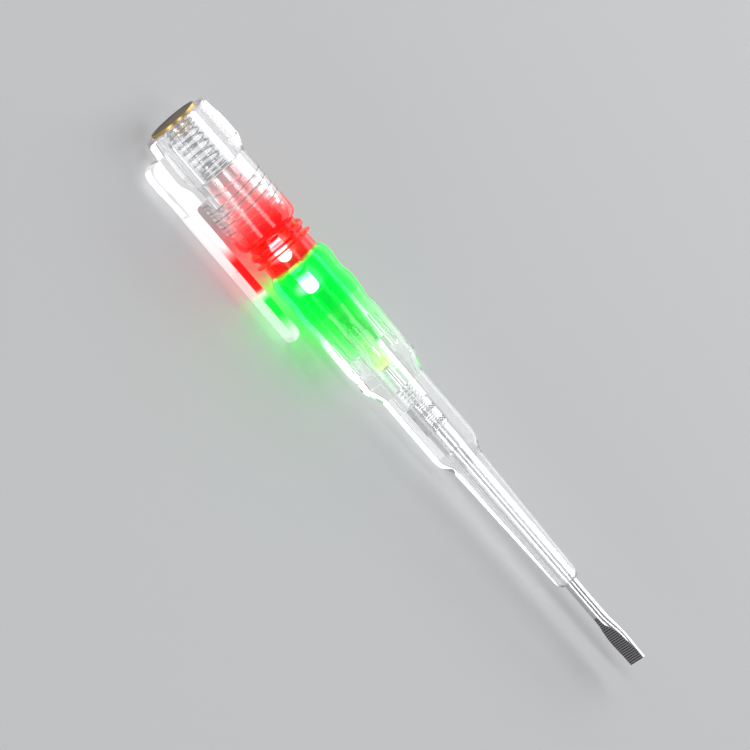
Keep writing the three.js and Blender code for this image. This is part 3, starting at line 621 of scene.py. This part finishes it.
def addBox(bm, corner, opposite, bevel):
    size = [abs(b - a) for a, b in zip(corner, opposite)]
    middle = [(a + b) / 2 for a, b in zip(corner, opposite)]
    made = bmesh.ops.create_cube(bm, size=1, matrix=Matrix.Translation(middle) @ Matrix.Diagonal((*size, 1)))
    edges = list({edge for vert in made["verts"] for edge in vert.link_edges})
    bmesh.ops.bevel(bm, geom=edges, offset=bevel, segments=2, profile=0.5, affect="EDGES", material=-1)


def bakeModifiers(piece):
    bpy.context.view_layer.update()
    shown = piece.evaluated_get(bpy.context.evaluated_depsgraph_get())
    mesh = bpy.data.meshes.new_from_object(shown)
    old = piece.data
    piece.modifiers.clear()
    piece.data = mesh
    bpy.data.meshes.remove(old)


# joins or cuts a piece with others, which are used up
def combine(piece, others, operation):
    for other in others:
        step = piece.modifiers.new("combine", "BOOLEAN")
        step.operation = operation
        step.solver = "EXACT"
        step.object = other
    bakeModifiers(piece)
    for other in others:
        bpy.data.objects.remove(other)


def finishPiece(piece, material, body=None, nodes=(), sharp=35):
    mesh = piece.data
    mesh.materials.clear()
    mesh.materials.append(material)
    mesh.shade_smooth()
    mesh.set_sharp_from_angle(angle=math.radians(sharp))
    even = piece.modifiers.new("evenNormals", "WEIGHTED_NORMAL")
    even.keep_sharp = True
    bakeModifiers(piece)
    if nodes:
        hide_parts(*nodes)
    if body:
        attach(piece, body)
    return piece


# gives the faces that are chosen another material
def dressFaces(piece, material, chosen):
    piece.data.materials.append(material)
    for face in piece.data.polygons:
        if chosen(face):
            face.material_index = len(piece.data.materials) - 1


thread = {
    "pitch": 2,
    "turns": 4,
    "root": 5.1,
    "crest": 5.6,
    "rootWidth": 0.95,
    "crestWidth": 0.5,
    "leadIn": 6.6,
    "slip": 0.15,
    "steps": 72,
}
bores = {
    "cell": 4.1,
    "board": 3.81,
    "resistor": 2.2,
    # the housing is moulded on the knurl, so its bore lies just under the steel's skin
    "knurl": 1.7,
    "shank": 1.65,
}
spigotStart = span("front_housing")[0]
threadStart = spigotStart + thread["leadIn"]
housingSteps = 128


# a thread ridge or groove wound round the axis
def buildThread(name, start, turns, inner, outer, wider=0):
    halfRoot, halfCrest = ((thread[key] + wider) / 2 for key in ("rootWidth", "crestWidth"))
    corners = [(-halfRoot, inner), (halfRoot, inner), (halfCrest, outer), (-halfCrest, outer)]
    bm = bmesh.new()
    verts = [bm.verts.new((start + x, -radius, 0)) for x, radius in corners]
    edges = [bm.edges.new((verts[i], verts[(i + 1) % 4])) for i in range(4)]
    wind(bm, verts + edges, turns, thread["pitch"], thread["steps"])
    closeEnds(bm)
    return newPiece(bm, name)


frontShell = {
    "neckGap": 0.3,
    "neckLength": 7.3,
    "coreRadius": 5.9,
    # where a ring's middle lies on the neck, its length, its radius
    "ring": (1.85, 2.2, 6.7),
    "flange": (4.05, 1.0, 7.0),
    "ringTaper": 5,
    "gripLength": 35.1,
    # share along the grip, radius
    "grip": [(0, 6.0), (0.034, 6.82), (0.088, 7.25), (0.188, 6.95), (0.282, 7.4), (0.356, 7.29),
             (0.45, 6.85), (0.524, 7.18), (0.641, 7.18), (0.745, 7.18), (0.806, 6.95),
             (0.852, 7.22), (0.885, 6.95), (1, 5.45)],
    "gripSteps": 4,
    "stemLength": 16.2,
    "taperLength": 5.5,
    "taperSteps": 12,
    "sleeveRadii": (3.65, 2.7),
    "endLength": 1.2,
    "endRadius": 2,
    "endCorners": (0.6, 0.25),
    "knurlBoreLength": 13.1,
    "scallops": 8,
    "scallopRadius": 2.6,
    "scallopDepth": 0.32,
    "scallopLength": 12.5,
    "scallopStart": 16,
    "scallopSteps": 8,
    # how far from the grip's start the moulding is painted with red lamp light, and green
    "redBack": 12,
    "greenAhead": 12.5,
}


def neckRing(neckStart, middle, length, radius):
    core = frontShell["coreRadius"]
    top = length / frontShell["ringTaper"]
    return [
        (neckStart + middle - length / 2, core, small),
        (neckStart + middle - top, radius, small),
        (neckStart + middle + top, radius, small),
        (neckStart + middle + length / 2, core, small),
    ]


# a round-ended cutter, laid along the even front half of the grip
def buildScallop(start, number):
    radius = frontShell["scallopRadius"]
    end = start + frontShell["scallopLength"]
    arc = quarter(frontShell["scallopSteps"])
    outline = [(start + radius * (1 - cosine), radius * sine) for sine, cosine in arc]
    outline += [(end - radius * (1 - sine), radius * cosine) for sine, cosine in arc]
    bm = turned(outline, 4 * frontShell["scallopSteps"])
    away = max(height for share, height in frontShell["grip"][7:10])
    away += radius - frontShell["scallopDepth"]
    bmesh.ops.translate(bm, verts=bm.verts, vec=(0, 0, away))
    turn = Matrix.Rotation(2 * math.pi * (number + 0.5) / frontShell["scallops"], 3, "X")
    bmesh.ops.rotate(bm, verts=bm.verts, cent=(0, 0, 0), matrix=turn)
    return newPiece(bm, "scallop")


def buildFrontShell():
    neckStart = span("rear_housing")[1] + frontShell["neckGap"]
    gripStart = neckStart + frontShell["neckLength"]
    stemStart = gripStart + frontShell["gripLength"]
    taperStart = stemStart + frontShell["stemLength"]
    sleeveStart = taperStart + frontShell["taperLength"]
    sleeveEnd = span("front_housing")[1]
    rearRadius, frontRadius = frontShell["sleeveRadii"]
    boardBoreStart = span("cell_plate")[1] + clearance
    boardBoreEnd = span("circuit_board")[1] + clearance
    redStart = gripStart - frontShell["redBack"]
    greenEnd = gripStart + frontShell["greenAhead"]
    knurlStart = span("shank")[0] - clearance
    shankBoreStart = knurlStart + frontShell["knurlBoreLength"]
    grip = smoothLine([(gripStart + share * frontShell["gripLength"], radius)
                       for share, radius in frontShell["grip"]], frontShell["gripSteps"])
    stemRadius = grip[-1][1]
    shares = [k / frontShell["taperSteps"] for k in range(1, frontShell["taperSteps"] + 1)]
    outline = [
        (spigotStart, bores["cell"], soft),
        (spigotStart, thread["root"], wide),
        (neckStart, thread["root"], soft),
        (neckStart, frontShell["coreRadius"], soft),
        *neckRing(neckStart, *frontShell["ring"]),
        *neckRing(neckStart, *frontShell["flange"]),
        *grip,
        (taperStart, stemRadius),
        *[(lerp(taperStart, sleeveStart, share), lerp(stemRadius, rearRadius, eased(share)))
          for share in shares],
        (sleeveEnd - frontShell["endLength"], frontRadius, frontShell["endCorners"][0]),
        (sleeveEnd, frontShell["endRadius"], frontShell["endCorners"][1]),
        (sleeveEnd, bores["shank"], small),
        (shankBoreStart, bores["shank"]),
        (shankBoreStart, bores["knurl"]),
        (knurlStart, bores["knurl"], small),
        (knurlStart, bores["resistor"], fine),
        (boardBoreEnd, bores["resistor"], soft),
        (boardBoreEnd, bores["board"], wide),
        # these two part the bore's faces where the plastic painted with lamp light starts and ends
        (greenEnd, bores["board"]),
        (gripStart, bores["board"]),
        (boardBoreStart, bores["board"], soft),
        (boardBoreStart, bores["cell"], soft),
    ]
    shell = newPiece(turned(rounded(outline), housingSteps, closed=True), "frontMoulding")
    scallopStart = gripStart + frontShell["scallopStart"]
    combine(shell, [buildScallop(scallopStart, i) for i in range(frontShell["scallops"])], "DIFFERENCE")
    ridge = buildThread("ridge", threadStart, thread["turns"], thread["root"] - thread["slip"],
                        thread["crest"])
    combine(shell, [ridge], "UNION")
    finishPiece(shell, clear, "front_body", ["front_housing"])
    # the sleeve gets a fainter painted glow, and the faces near the lamps take the copies with painted lamp
    # light and tinted reflections
    dressFaces(shell, sleeveClear, lambda face: alongTool(face.center) < redStart)
    dressFaces(shell, redLit, lambda face: redStart < alongTool(face.center) < gripStart)
    dressFaces(shell, greenLit, lambda face: gripStart < alongTool(face.center) < greenEnd)


buildFrontShell()
print("front moulding built")

rearShell = {
    "discPocket": 5.85,
    "pocketDepth": 1.6,
    "springBore": 3.75,
    "tailRadius": 7.7,
    "tailCorner": 1.3,
    "shoulder": (3.85, 8.1, 1.2),
    "collar": (7, 11.6, 8.5),
    "collarCorners": (1.5, 0.9),
    "sleeveStart": 14.4,
    "sleeveRadius": 7.33,
    "mouthStart": 29.4,
    "mouthRadius": 6.25,
    "mouthBoreLength": 1.3,
    "mouthSteps": 8,
    "threadSlips": 1.5,
}
clipBar = {
    "rootStart": 4.3,
    "rootEnd": 17,
    "end": 51.4,
    "underside": 10.2,
    "top": 12,
    "width": 5.4,
    "sunk": 6.5,
    "tailCorner": 2.4,
    "tipCorner": 1.9,
    "tipLift": 0.9,
    "tipRun": 1.3,
    "tipCorners": (0.5, 0.4, 0.6),
    "rootFillet": 0.9,
    "edge": 0.35,
    "ribs": (32.4, 43.5),
    "ribWidth": 0.5,
    "ribHeight": 0.25,
    "ribBevel": 0.12,
    "bendLength": 6.7,
    "bendSlope": math.radians(79),
    "sideFacing": 0.7,
}


# a fine rib across the back of the clip
def buildClipRib(x):
    half = clipBar["width"] / 2 - clipBar["edge"]
    bm = bmesh.new()
    addBox(bm, (x - clipBar["ribWidth"] / 2, -clipBar["top"] - clipBar["ribHeight"], -half),
           (x + clipBar["ribWidth"] / 2, -clipBar["top"] + clipBar["edge"], half), clipBar["ribBevel"])
    return newPiece(bm, "clipRib")


# the clip's side, cut to a plan with a round tip
def buildClip():
    half = clipBar["width"] / 2
    topCorner, endCorner, liftCorner = clipBar["tipCorners"]
    side = rounded([
        (clipBar["rootStart"], clipBar["sunk"]),
        (clipBar["rootStart"], clipBar["top"], clipBar["tailCorner"]),
        (clipBar["end"], clipBar["top"], topCorner),
        (clipBar["end"], clipBar["underside"] + clipBar["tipLift"], endCorner),
        (clipBar["end"] - clipBar["tipRun"], clipBar["underside"], liftCorner),
        (clipBar["rootEnd"], clipBar["underside"], clipBar["rootFillet"]),
        (clipBar["rootEnd"], clipBar["sunk"]),
    ], 6)
    plan = rounded(mirrored([(clipBar["rootStart"] - overrun, half),
                             (clipBar["end"], half, clipBar["tipCorner"])]), 10)
    clip = drawnOut("clip", [(x, -radius, -half) for x, radius in side], (0, 0, clipBar["width"]))
    cutter = drawnOut("clipPlan", [(x, -clipBar["top"] - overrun, z) for x, z in plan],
                      (0, clipBar["top"], 0))
    combine(clip, [cutter], "INTERSECT")
    combine(clip, [buildClipRib(x) for x in clipBar["ribs"]], "UNION")
    return clip


def buildRearShell():
    start, end = span("rear_housing")
    minor = thread["root"] + rearShell["threadSlips"] * thread["slip"]
    major = thread["crest"] + rearShell["threadSlips"] * thread["slip"]
    stop = spigotStart - clearance
    sleeveStart, sleeveRadius = rearShell["sleeveStart"], rearShell["sleeveRadius"]
    collarStart, collarEnd, collarRadius = rearShell["collar"]
    rearCorner, frontCorner = rearShell["collarCorners"]
    outline = [
        (start, rearShell["discPocket"], small),
        (start, rearShell["tailRadius"], rearShell["tailCorner"]),
        rearShell["shoulder"],
        (collarStart, collarRadius, rearCorner),
        (collarEnd, collarRadius, frontCorner),
        (sleeveStart, sleeveRadius, frontCorner),
        (rearShell["mouthStart"], sleeveRadius),
        *[(lerp(rearShell["mouthStart"], end, sine), lerp(sleeveRadius, rearShell["mouthRadius"], 1 - cosine))
          for sine, cosine in quarter(rearShell["mouthSteps"])[1:]],
        (end, major, soft),
        (end - rearShell["mouthBoreLength"], major, fine),
        (end - rearShell["mouthBoreLength"], minor, fine),
        (stop, minor, soft),
        (stop, rearShell["springBore"], soft),
        (rearShell["pocketDepth"], rearShell["springBore"], soft),
        (rearShell["pocketDepth"], rearShell["discPocket"], soft),
    ]
    shell = newPiece(turned(rounded(outline), housingSteps, closed=True), "rearMoulding")
    groove = buildThread("groove", threadStart - thread["pitch"], thread["turns"] + 2,
                         minor - thread["slip"], major, 2 * thread["slip"])
    combine(shell, [groove], "DIFFERENCE")
    combine(shell, [buildClip()], "UNION")
    finishPiece(shell, clear, None, ["rear_housing", "pocket_clip"])
    toTool = toolPlace.inverted()
    sideways = (toolPlace.to_3x3() @ Vector((0, 0, 1))).normalized()
    # the sleeve gets a fainter painted glow, the clip a heavy painted white glow, and its sides painted red
    # and green lamp light
    dressFaces(shell, sleeveClear, lambda face: alongTool(face.center) > sleeveStart)
    dressFaces(shell, clipClear, lambda face: -(toTool @ face.center).y > collarRadius)
    dressFaces(shell, clipSide, lambda face: -(toTool @ face.center).y > collarRadius
               and abs(face.normal.dot(sideways)) > clipBar["sideFacing"])
    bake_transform(shell)


buildRearShell()
print("rear moulding built")

touchDisc = {
    "radius": 5.7,
    "thickness": 1.3,
    "rim": 0.35,
    # the face is dished inside a raised rim
    "dishDepth": 0.12,
    "dishInsets": (1.1, 0.75, 0.65),
    "stemRadius": 2.6,
    "stemEnd": 3.7,
    "tailFacing": 0.7,
}


def buildTouchDisc():
    radius, thickness = touchDisc["radius"], touchDisc["thickness"]
    flat, edge, rim = (radius - inset for inset in touchDisc["dishInsets"])
    bm = turnedBar([
        (touchDisc["dishDepth"], flat),
        (touchDisc["dishDepth"], edge, 0.08),
        (0, rim, 0.06),
        (0, radius, touchDisc["rim"]),
        (thickness, radius, small),
        (thickness, touchDisc["stemRadius"], fine),
        (touchDisc["stemEnd"], touchDisc["stemRadius"], wide),
    ])
    disc = finishPiece(newPiece(bm, "touchDisc"), brass, "tail_contact", ["touch_contact"])
    inside = (radius - touchDisc["rim"] / 2) * millimetre
    # the face inside the rim is a darker brass
    dressFaces(disc, darkBrass, lambda face: face.normal.x < -touchDisc["tailFacing"]
               and (face.center - tail).yz.length < inside)


buildTouchDisc()

springs = {
    "rear_spring": {"radius": 3.2, "wire": 0.5, "closedTurns": 2.5, "openTurns": 4.5, "closedPitch": 0.95},
    "front_spring": {"radius": 1.55, "wire": 0.4, "closedTurns": 1, "openTurns": 1.5, "closedPitch": 0.85},
}


def buildSpring(node, name, sides=12, steps=40):
    coil = springs[node]
    start, end = span(node)
    half = coil["wire"] / 2
    openPitch = (end - start - 2 * half - 2 * coil["closedTurns"] * coil["closedPitch"]) / coil["openTurns"]
    bm = bmesh.new()
    made = bmesh.ops.create_circle(bm, segments=sides, radius=half,
                                   matrix=Matrix.Translation((start + half, coil["radius"], 0)))
    geom = made["verts"] + list(bm.edges)
    closed = (coil["closedTurns"], coil["closedPitch"])
    for turns, pitch in (closed, (coil["openTurns"], openPitch), closed):
        geom = wind(bm, geom, turns, pitch, steps)
    closeEnds(bm)
    return newPiece(bm, name)


rearSpring = finishPiece(buildSpring("rear_spring", "rearBatterySpring"), springWire,
                         None, ["rear_spring"])
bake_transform(rearSpring)
finishPiece(buildSpring("front_spring", "frontContactSpring"), brightWire, "front_body",
            ["front_spring"])
print("contacts and springs built")

cell = {
    "radius": 3.95,
    "capRadius": 3.1,
    "capHeight": 0.35,
    "capFlare": 0.05,
    # the can's rim is crimped over the gasket
    "crimpHeight": 0.08,
    "crimpInsets": (0.35, 0.3, 0.18),
    "crimpLength": 0.3,
    "edge": 0.75,
    "baseStep": 0.05,
    "baseInsets": (0.6, 0.75),
    "gasketHeights": (0.02, 0.14),
    "gasketInner": (0.1, 0.16),
    "gasketOuter": (0.38, 0.32),
    "steps": 64,
}


def buildCell(number):
    node = f"cell_{number}"
    start, end = span(node)
    shoulder = start + cell["capHeight"]
    crimpTop = shoulder - cell["crimpHeight"]
    base = end - cell["baseStep"]
    radius, capRadius = cell["radius"], cell["capRadius"]
    crimpInner, crimpMiddle, crimpOuter = (radius - inset for inset in cell["crimpInsets"])
    baseOuter, baseInner = (radius - inset for inset in cell["baseInsets"])
    can = turnedBar([
        (start, capRadius, small),
        (shoulder, capRadius + cell["capFlare"], 0.08),
        (shoulder, crimpInner),
        (crimpTop, crimpMiddle, fine),
        (crimpTop, crimpOuter, 0.08),
        (shoulder + cell["crimpLength"], radius, wide),
        (base, radius, cell["edge"]),
        (base, baseOuter, fine),
        (end, baseInner, fine),
    ], 3, cell["steps"])
    finishPiece(newPiece(can, f"buttonCell_{number}"), cellMetal, "front_body", [node])
    low, high = (shoulder - height for height in cell["gasketHeights"])
    innerLow, innerHigh = cell["gasketInner"]
    outerHigh, outerLow = cell["gasketOuter"]
    gasket = turned([
        (low, capRadius + innerLow),
        (high, capRadius + innerHigh),
        (high, radius - outerHigh),
        (low, radius - outerLow),
    ], cell["steps"], closed=True)
    finishPiece(newPiece(gasket, f"cellGasket_{number}"), gasketNylon, "front_body")


for cellNumber in (1, 2, 3):
    buildCell(cellNumber)

cellPlate = {"hole": 0.9, "corner": 0.12}


def buildCellPlate():
    start, end = span("cell_plate")
    bm = turned(rounded([
        (start, cellPlate["hole"], fine),
        (start, cell["radius"], cellPlate["corner"]),
        (end, cell["radius"], cellPlate["corner"]),
        (end, cellPlate["hole"], fine),
    ], 3), cell["steps"], closed=True)
    finishPiece(newPiece(bm, "cellPlate"), brass, "front_body", ["cell_plate"])


buildCellPlate()
print("cells built")

board = {
    "turn": math.radians(46),
    "top": -0.4,
    "thickness": 0.8,
    "width": 6.6,
    "forkLength": 2.9,
    "forkHalf": 2.2,
    "prongPoint": 1,
    "hole": 0.8,
    "drillDepth": 4,
    "seat": 0.15,
}
lamp = {
    "radius": 1.5,
    "flangeRadius": 1.75,
    "flangeLength": 0.7,
    "flangeCorner": 0.12,
    "leadSpacing": 2,
    "leadReach": 1.15,
    "domeSteps": 12,
    "steps": 48,
}
boardPlace = toolPlace @ Matrix.Rotation(board["turn"], 4, "X")
boardBottom = board["top"] - board["thickness"]
seatHeight = board["top"] + board["seat"]
lampHeight = seatHeight + lamp["flangeRadius"]


def buildLamp(node, name, material):
    start, end = span(node)
    radius, flangeEnd = lamp["radius"], start + lamp["flangeLength"]
    flange = rounded([
        (start, lamp["flangeRadius"], lamp["flangeCorner"]),
        (flangeEnd, lamp["flangeRadius"], lamp["flangeCorner"]),
        (flangeEnd, radius),
    ], 3, closed=False)
    dome = [(end - radius * (1 - sine), radius * cosine) for sine, cosine in quarter(lamp["domeSteps"])]
    bm = turned([(start, 0), *flange, *dome], lamp["steps"])
    bmesh.ops.translate(bm, verts=bm.verts, vec=(0, 0, lampHeight))
    finishPiece(newPiece(bm, name, boardPlace), material, "front_body", [node])


buildLamp("red_led", "redLamp", redLampResin)
buildLamp("green_led", "greenLamp", greenLampResin)

lead = {
    "radius": 0.25,
    "bend": 0.6,
    "tail": 0.45,
    "sides": 12,
    "bendSteps": 8,
}


def pullRing(bm, geom, way):
    edges = [item for item in geom if isinstance(item, bmesh.types.BMEdge)]
    out = bmesh.ops.extrude_edge_only(bm, edges=edges)["geom"]
    bmesh.ops.translate(bm, verts=onlyVerts(out), vec=way)
    return [item for item in out if not isinstance(item, bmesh.types.BMFace)]


# a lead runs along the board, then bends down through its hole
def buildLead(node, name, start, hole, across, height):
    way = math.copysign(1, hole - start)
    bm = bmesh.new()
    turn = Matrix.Rotation(math.pi / 2, 4, "Y")
    made = bmesh.ops.create_circle(bm, segments=lead["sides"], radius=lead["radius"],
                                   matrix=Matrix.Translation((start, across, height)) @ turn)
    level = hole - way * lead["bend"]
    ring = pullRing(bm, made["verts"] + list(bm.edges), (level - start, 0, 0))
    bent = bmesh.ops.spin(bm, geom=ring, cent=(level, across, height - lead["bend"]), axis=(0, way, 0),
                          angle=math.pi / 2, steps=lead["bendSteps"], use_merge=False,
                          use_duplicate=False)
    down = height - lead["bend"] - (boardBottom - lead["tail"])
    pullRing(bm, bent["geom_last"], (0, 0, -down))
    bmesh.ops.remove_doubles(bm, verts=bm.verts, dist=mergeDistance)
    closeEnds(bm)
    finishPiece(newPiece(bm, name, boardPlace), tinned, "front_body", [node])


holes = []
for colour in ("red", "green"):
    lampStart = span(f"{colour}_led")[0]
    for letter, side in (("a", -1), ("b", 1)):
        across = side * lamp["leadSpacing"] / 2
        hole = lampStart - lamp["leadReach"]
        holes.append((hole, across))
        buildLead(f"{colour}_led_lead_{letter}", f"{colour}LampLead_{letter}", lampStart - clearance, hole,
                  across, lampHeight)
boardStart, boardEnd = span("circuit_board")
batteryHole = boardStart + board["hole"]
resistorHole = boardEnd - board["forkLength"] - board["hole"]
holes += [(batteryHole, 0), (resistorHole, 0)]
buildLead("battery_lead", "batteryLead", span("battery_lead")[0], batteryHole, 0, lead["bend"])
buildLead("resistor_lead", "resistorLead", span("series_resistor")[0] - clearance, resistorHole, 0,
          lead["bend"])


def buildBoard():
    half = board["width"] / 2
    forkStart = boardEnd - board["forkLength"]
    outline = mirrored([
        (boardStart, half), (forkStart, half), (boardEnd, half - board["prongPoint"] / 2),
        (boardEnd, board["forkHalf"]), (forkStart, board["forkHalf"]),
    ])
    slab = drawnOut("circuitBoard", [(x, y, boardBottom) for x, y in outline],
                    (0, 0, board["thickness"]), boardPlace)
    drills = []
    for x, y in holes:
        bm = bmesh.new()
        bmesh.ops.create_cone(bm, cap_ends=True, segments=20, radius1=board["hole"] / 2,
                              radius2=board["hole"] / 2, depth=board["drillDepth"])
        bmesh.ops.translate(bm, verts=bm.verts, vec=(x, y, boardBottom + board["thickness"] / 2))
        drills.append(newPiece(bm, "drill", boardPlace))
    combine(slab, drills, "DIFFERENCE")
    finishPiece(slab, boardMask, "front_body", ["circuit_board"])


buildBoard()

solder = {"lowRadius": 0.34, "highRadius": 0.62, "height": 0.35, "drop": 0.18}


def buildSolder():
    bm = bmesh.new()
    for x, y in holes:
        made = bmesh.ops.create_cone(bm, cap_ends=True, segments=20, radius1=solder["lowRadius"],
                                     radius2=solder["highRadius"], depth=solder["height"])
        bmesh.ops.translate(bm, verts=made["verts"], vec=(x, y, boardBottom - solder["drop"]))
    finishPiece(newPiece(bm, "solderJoints", boardPlace), tinned, "front_body")


buildSolder()

chips = {
    "sensing_chip": {"name": "sensingChip", "width": 3.3, "height": 1.4, "legs": 4, "pitch": 1.1},
    "transistor": {"name": "transistorBody", "width": 2.6, "height": 0.9, "legs": 0, "pitch": 0.75},
    "bevel": 0.12,
}
chipLeg = {
    "halfWidth": 0.2,
    "thickness": 0.16,
    "rise": 0.42,
    "foot": 0.15,
    # how far its root, its knee and its foot's end lie outside the chip
    "reaches": (-0.1, 0.22, 0.5),
    "bevel": 0.03,
}


def buildChip(node):
    facts = chips[node]
    start, end = span(node)
    bottom = board["top"] + clearance
    half = facts["width"] / 2
    bm = bmesh.new()
    addBox(bm, (start, -half, bottom), (end, half, bottom + facts["height"]), chips["bevel"])
    finishPiece(newPiece(bm, facts["name"], boardPlace), blackResin, "front_body", [node])
    middle = (start + end) / 2
    pitch = facts["pitch"]
    if facts["legs"]:
        first = middle - (facts["legs"] - 1) * pitch / 2
        legs = [(first + i * pitch, side) for side in (-1, 1) for i in range(facts["legs"])]
    else:
        legs = [(middle - pitch / 2, -1), (middle + pitch / 2, -1), (middle, 1)]
    bm = bmesh.new()
    shin = seatHeight + chipLeg["rise"]
    top = shin + chipLeg["thickness"]
    for x, side in legs:
        inner, knee, outer = (side * (half + reach) for reach in chipLeg["reaches"])
        back = knee - side * chipLeg["thickness"]
        for rear, front, low, high in ((inner, knee, shin, top), (knee, back, seatHeight, top),
                                       (back, outer, seatHeight, seatHeight + chipLeg["foot"])):
            addBox(bm, (x - chipLeg["halfWidth"], rear, low), (x + chipLeg["halfWidth"], front, high),
                   chipLeg["bevel"])
    finishPiece(newPiece(bm, facts["name"] + "Legs", boardPlace), tinned, "front_body")


buildChip("sensing_chip")
buildChip("transistor")

block = {
    "width": 2,
    "cap": 0.35,
    "capBevel": 0.06,
    "inset": 0.05,
    "sink": 0.04,
    "bevel": 0.05,
    "resistorTop": 0.65,
    "capacitorBottom": 1.05,
}


def buildBlock(node, name, low, high, material):
    start, end = span(node)
    half = block["width"] / 2
    capStart = half - block["cap"]
    inset, sink = block["inset"], block["sink"]
    bm = bmesh.new()
    addBox(bm, (start + inset, -capStart, low + sink), (end - inset, capStart, high - sink), block["bevel"])
    finishPiece(newPiece(bm, name, boardPlace), material, "front_body", [node])
    bm = bmesh.new()
    for side in (-1, 1):
        addBox(bm, (start, side * capStart, low), (end, side * half, high), block["capBevel"])
    finishPiece(newPiece(bm, name + "Caps", boardPlace), tinned, "front_body")


# the resistor sits on the board and the capacitor under it
buildBlock("chip_resistor", "chipResistor", seatHeight, board["top"] + block["resistorTop"],
           blackResin)
buildBlock("chip_capacitor", "chipCapacitor", boardBottom - block["capacitorBottom"],
           boardBottom - board["seat"], tanCeramic)

resistor = {
    "radius": 1.9,
    "waist": 1.65,
    "capLength": 1.5,
    "slope": 0.5,
    "capCorner": 0.5,
    "waistCorner": 0.4,
}


def buildResistor():
    start, end = span("series_resistor")
    cap, slope = resistor["capLength"], resistor["slope"]
    radius, waist = resistor["radius"], resistor["waist"]
    capCorner, waistCorner = resistor["capCorner"], resistor["waistCorner"]
    bm = turnedBar([
        (start, radius - capCorner, fine),
        (start, radius, capCorner),
        (start + cap, radius, waistCorner),
        (start + cap + slope, waist, waistCorner),
        (end - cap - slope, waist, waistCorner),
        (end - cap, radius, waistCorner),
        (end, radius, capCorner),
        (end, radius - capCorner, fine),
    ], 4, 48)
    finishPiece(newPiece(bm, "seriesResistor"), yellowLacquer, "front_body",
                ["series_resistor"])


buildResistor()
print("board built")

pin = {
    "radius": 1.1,
    "headRadius": 1.9,
    "headLength": 0.9,
    "headFace": 0.4,
    "tipRadius": 0.5,
    "tipLength": 0.6,
}


def buildPin():
    start, end = span("contact_pin")
    headStart = end - pin["headLength"]
    bm = turnedBar([
        (start, pin["tipRadius"], soft),
        (start + pin["tipLength"], pin["radius"], wide),
        (headStart, pin["radius"], fine),
        (headStart, pin["headRadius"], small),
        (end, pin["headRadius"], small),
        (end, pin["headRadius"] - pin["headFace"]),
    ], 4, 48)
    finishPiece(newPiece(bm, "contactPin"), brightWire, "front_body", ["contact_pin"])


buildPin()

shank = {
    "radius": 1.5,
    "coreRadius": 0.5,
    "knurlRadius": 1.9,
    "knurlLength": 7,
    "knurlStarts": 16,
    "knurlDepth": 0.1,
    "knurlSharpness": 2.2,
    "knurlLead": 9,
    "knurlRows": 70,
    "collarRadius": 1.75,
    "collarLength": 5.5,
    "lip": 0.05,
    "bladeWidth": 4.5,
    "tipWidth": 4.2,
    "tipThickness": 0.7,
    "heelThickness": 2.2,
    "groundLength": 12.6,
    "groundLead": 0.4,
    "groundFacing": 0.93,
    "flareLength": 6.6,
    "flareLead": 1,
    "flareRows": 30,
    "tipLength": 2.5,
    "cutterHalf": 4,
    "sharp": 30,
}
bladeTurn = math.atan2(-bladeFace.y, bladeFace.z) - roll
bladePlace = toolPlace @ Matrix.Rotation(bladeTurn, 4, "X")


def buildShank():
    start, end = span("shank")
    radius, knurlRadius, collarRadius = shank["radius"], shank["knurlRadius"], shank["collarRadius"]
    lip = shank["lip"]
    knurlEnd = start + shank["knurlLength"]
    collarEnd = knurlEnd + shank["collarLength"]
    flareStart = end - shank["groundLength"]
    flareEnd = flareStart + shank["flareLength"]
    outline = [(start, knurlRadius - soft)]
    for k in range(shank["knurlRows"] + 1):
        outline.append((lerp(start + small, knurlEnd - fine, k / shank["knurlRows"]), knurlRadius))
    outline += [(knurlEnd, collarRadius + lip), (knurlEnd + fine, collarRadius),
                (collarEnd - small, collarRadius), (collarEnd, radius + lip),
                (collarEnd + fine, radius)]
    for k in range(shank["flareRows"] + 1):
        outline.append((lerp(flareStart - shank["flareLead"], end, k / shank["flareRows"]), radius))
    bm = turnedBar(outline)
    for vert in bm.verts:
        x = vert.co.x
        angle = math.atan2(vert.co.z, vert.co.y)
        if start + fine < x < knurlEnd - lip and vert.co.yz.length > shank["coreRadius"]:
            turn = x / shank["knurlLead"] * 2 * math.pi
            left = abs(math.sin((angle + turn) * shank["knurlStarts"] / 2))
            right = abs(math.sin((angle - turn) * shank["knurlStarts"] / 2))
            cut = shank["knurlDepth"] * (1 - min(1, shank["knurlSharpness"] * min(left, right)))
            vert.co.yz *= (knurlRadius - cut) / vert.co.yz.length
        elif x > flareStart:
            share = eased(min(1, (x - flareStart) / shank["flareLength"]))
            width = lerp(radius, shank["bladeWidth"] / 2, share)
            if x > flareEnd:
                width = lerp(width, shank["tipWidth"] / 2, (x - flareEnd) / (end - flareEnd))
            vert.co.y *= width / radius
    bar = newPiece(bm, "steelShank", bladePlace)
    heel, tip, thick = shank["heelThickness"] / 2, shank["tipThickness"] / 2, radius + soft
    side = mirrored([
        (start - overrun, thick), (flareStart + shank["groundLead"], thick),
        (flareStart + shank["flareLength"] / 2, heel), (end - shank["tipLength"], tip), (end, tip),
    ])
    half = shank["cutterHalf"]
    cutter = drawnOut("grinding", [(x, -half, z) for x, z in side], (0, 2 * half, 0), bladePlace)
    combine(bar, [cutter], "INTERSECT")
    finishPiece(bar, bladeSteel, "front_body", ["shank"], shank["sharp"])
    dressFaces(bar, groundSteel, lambda face: alongTool(face.center) > flareStart
               and abs(face.normal.dot(bladeFace)) > shank["groundFacing"])


buildShank()
print("shank built")
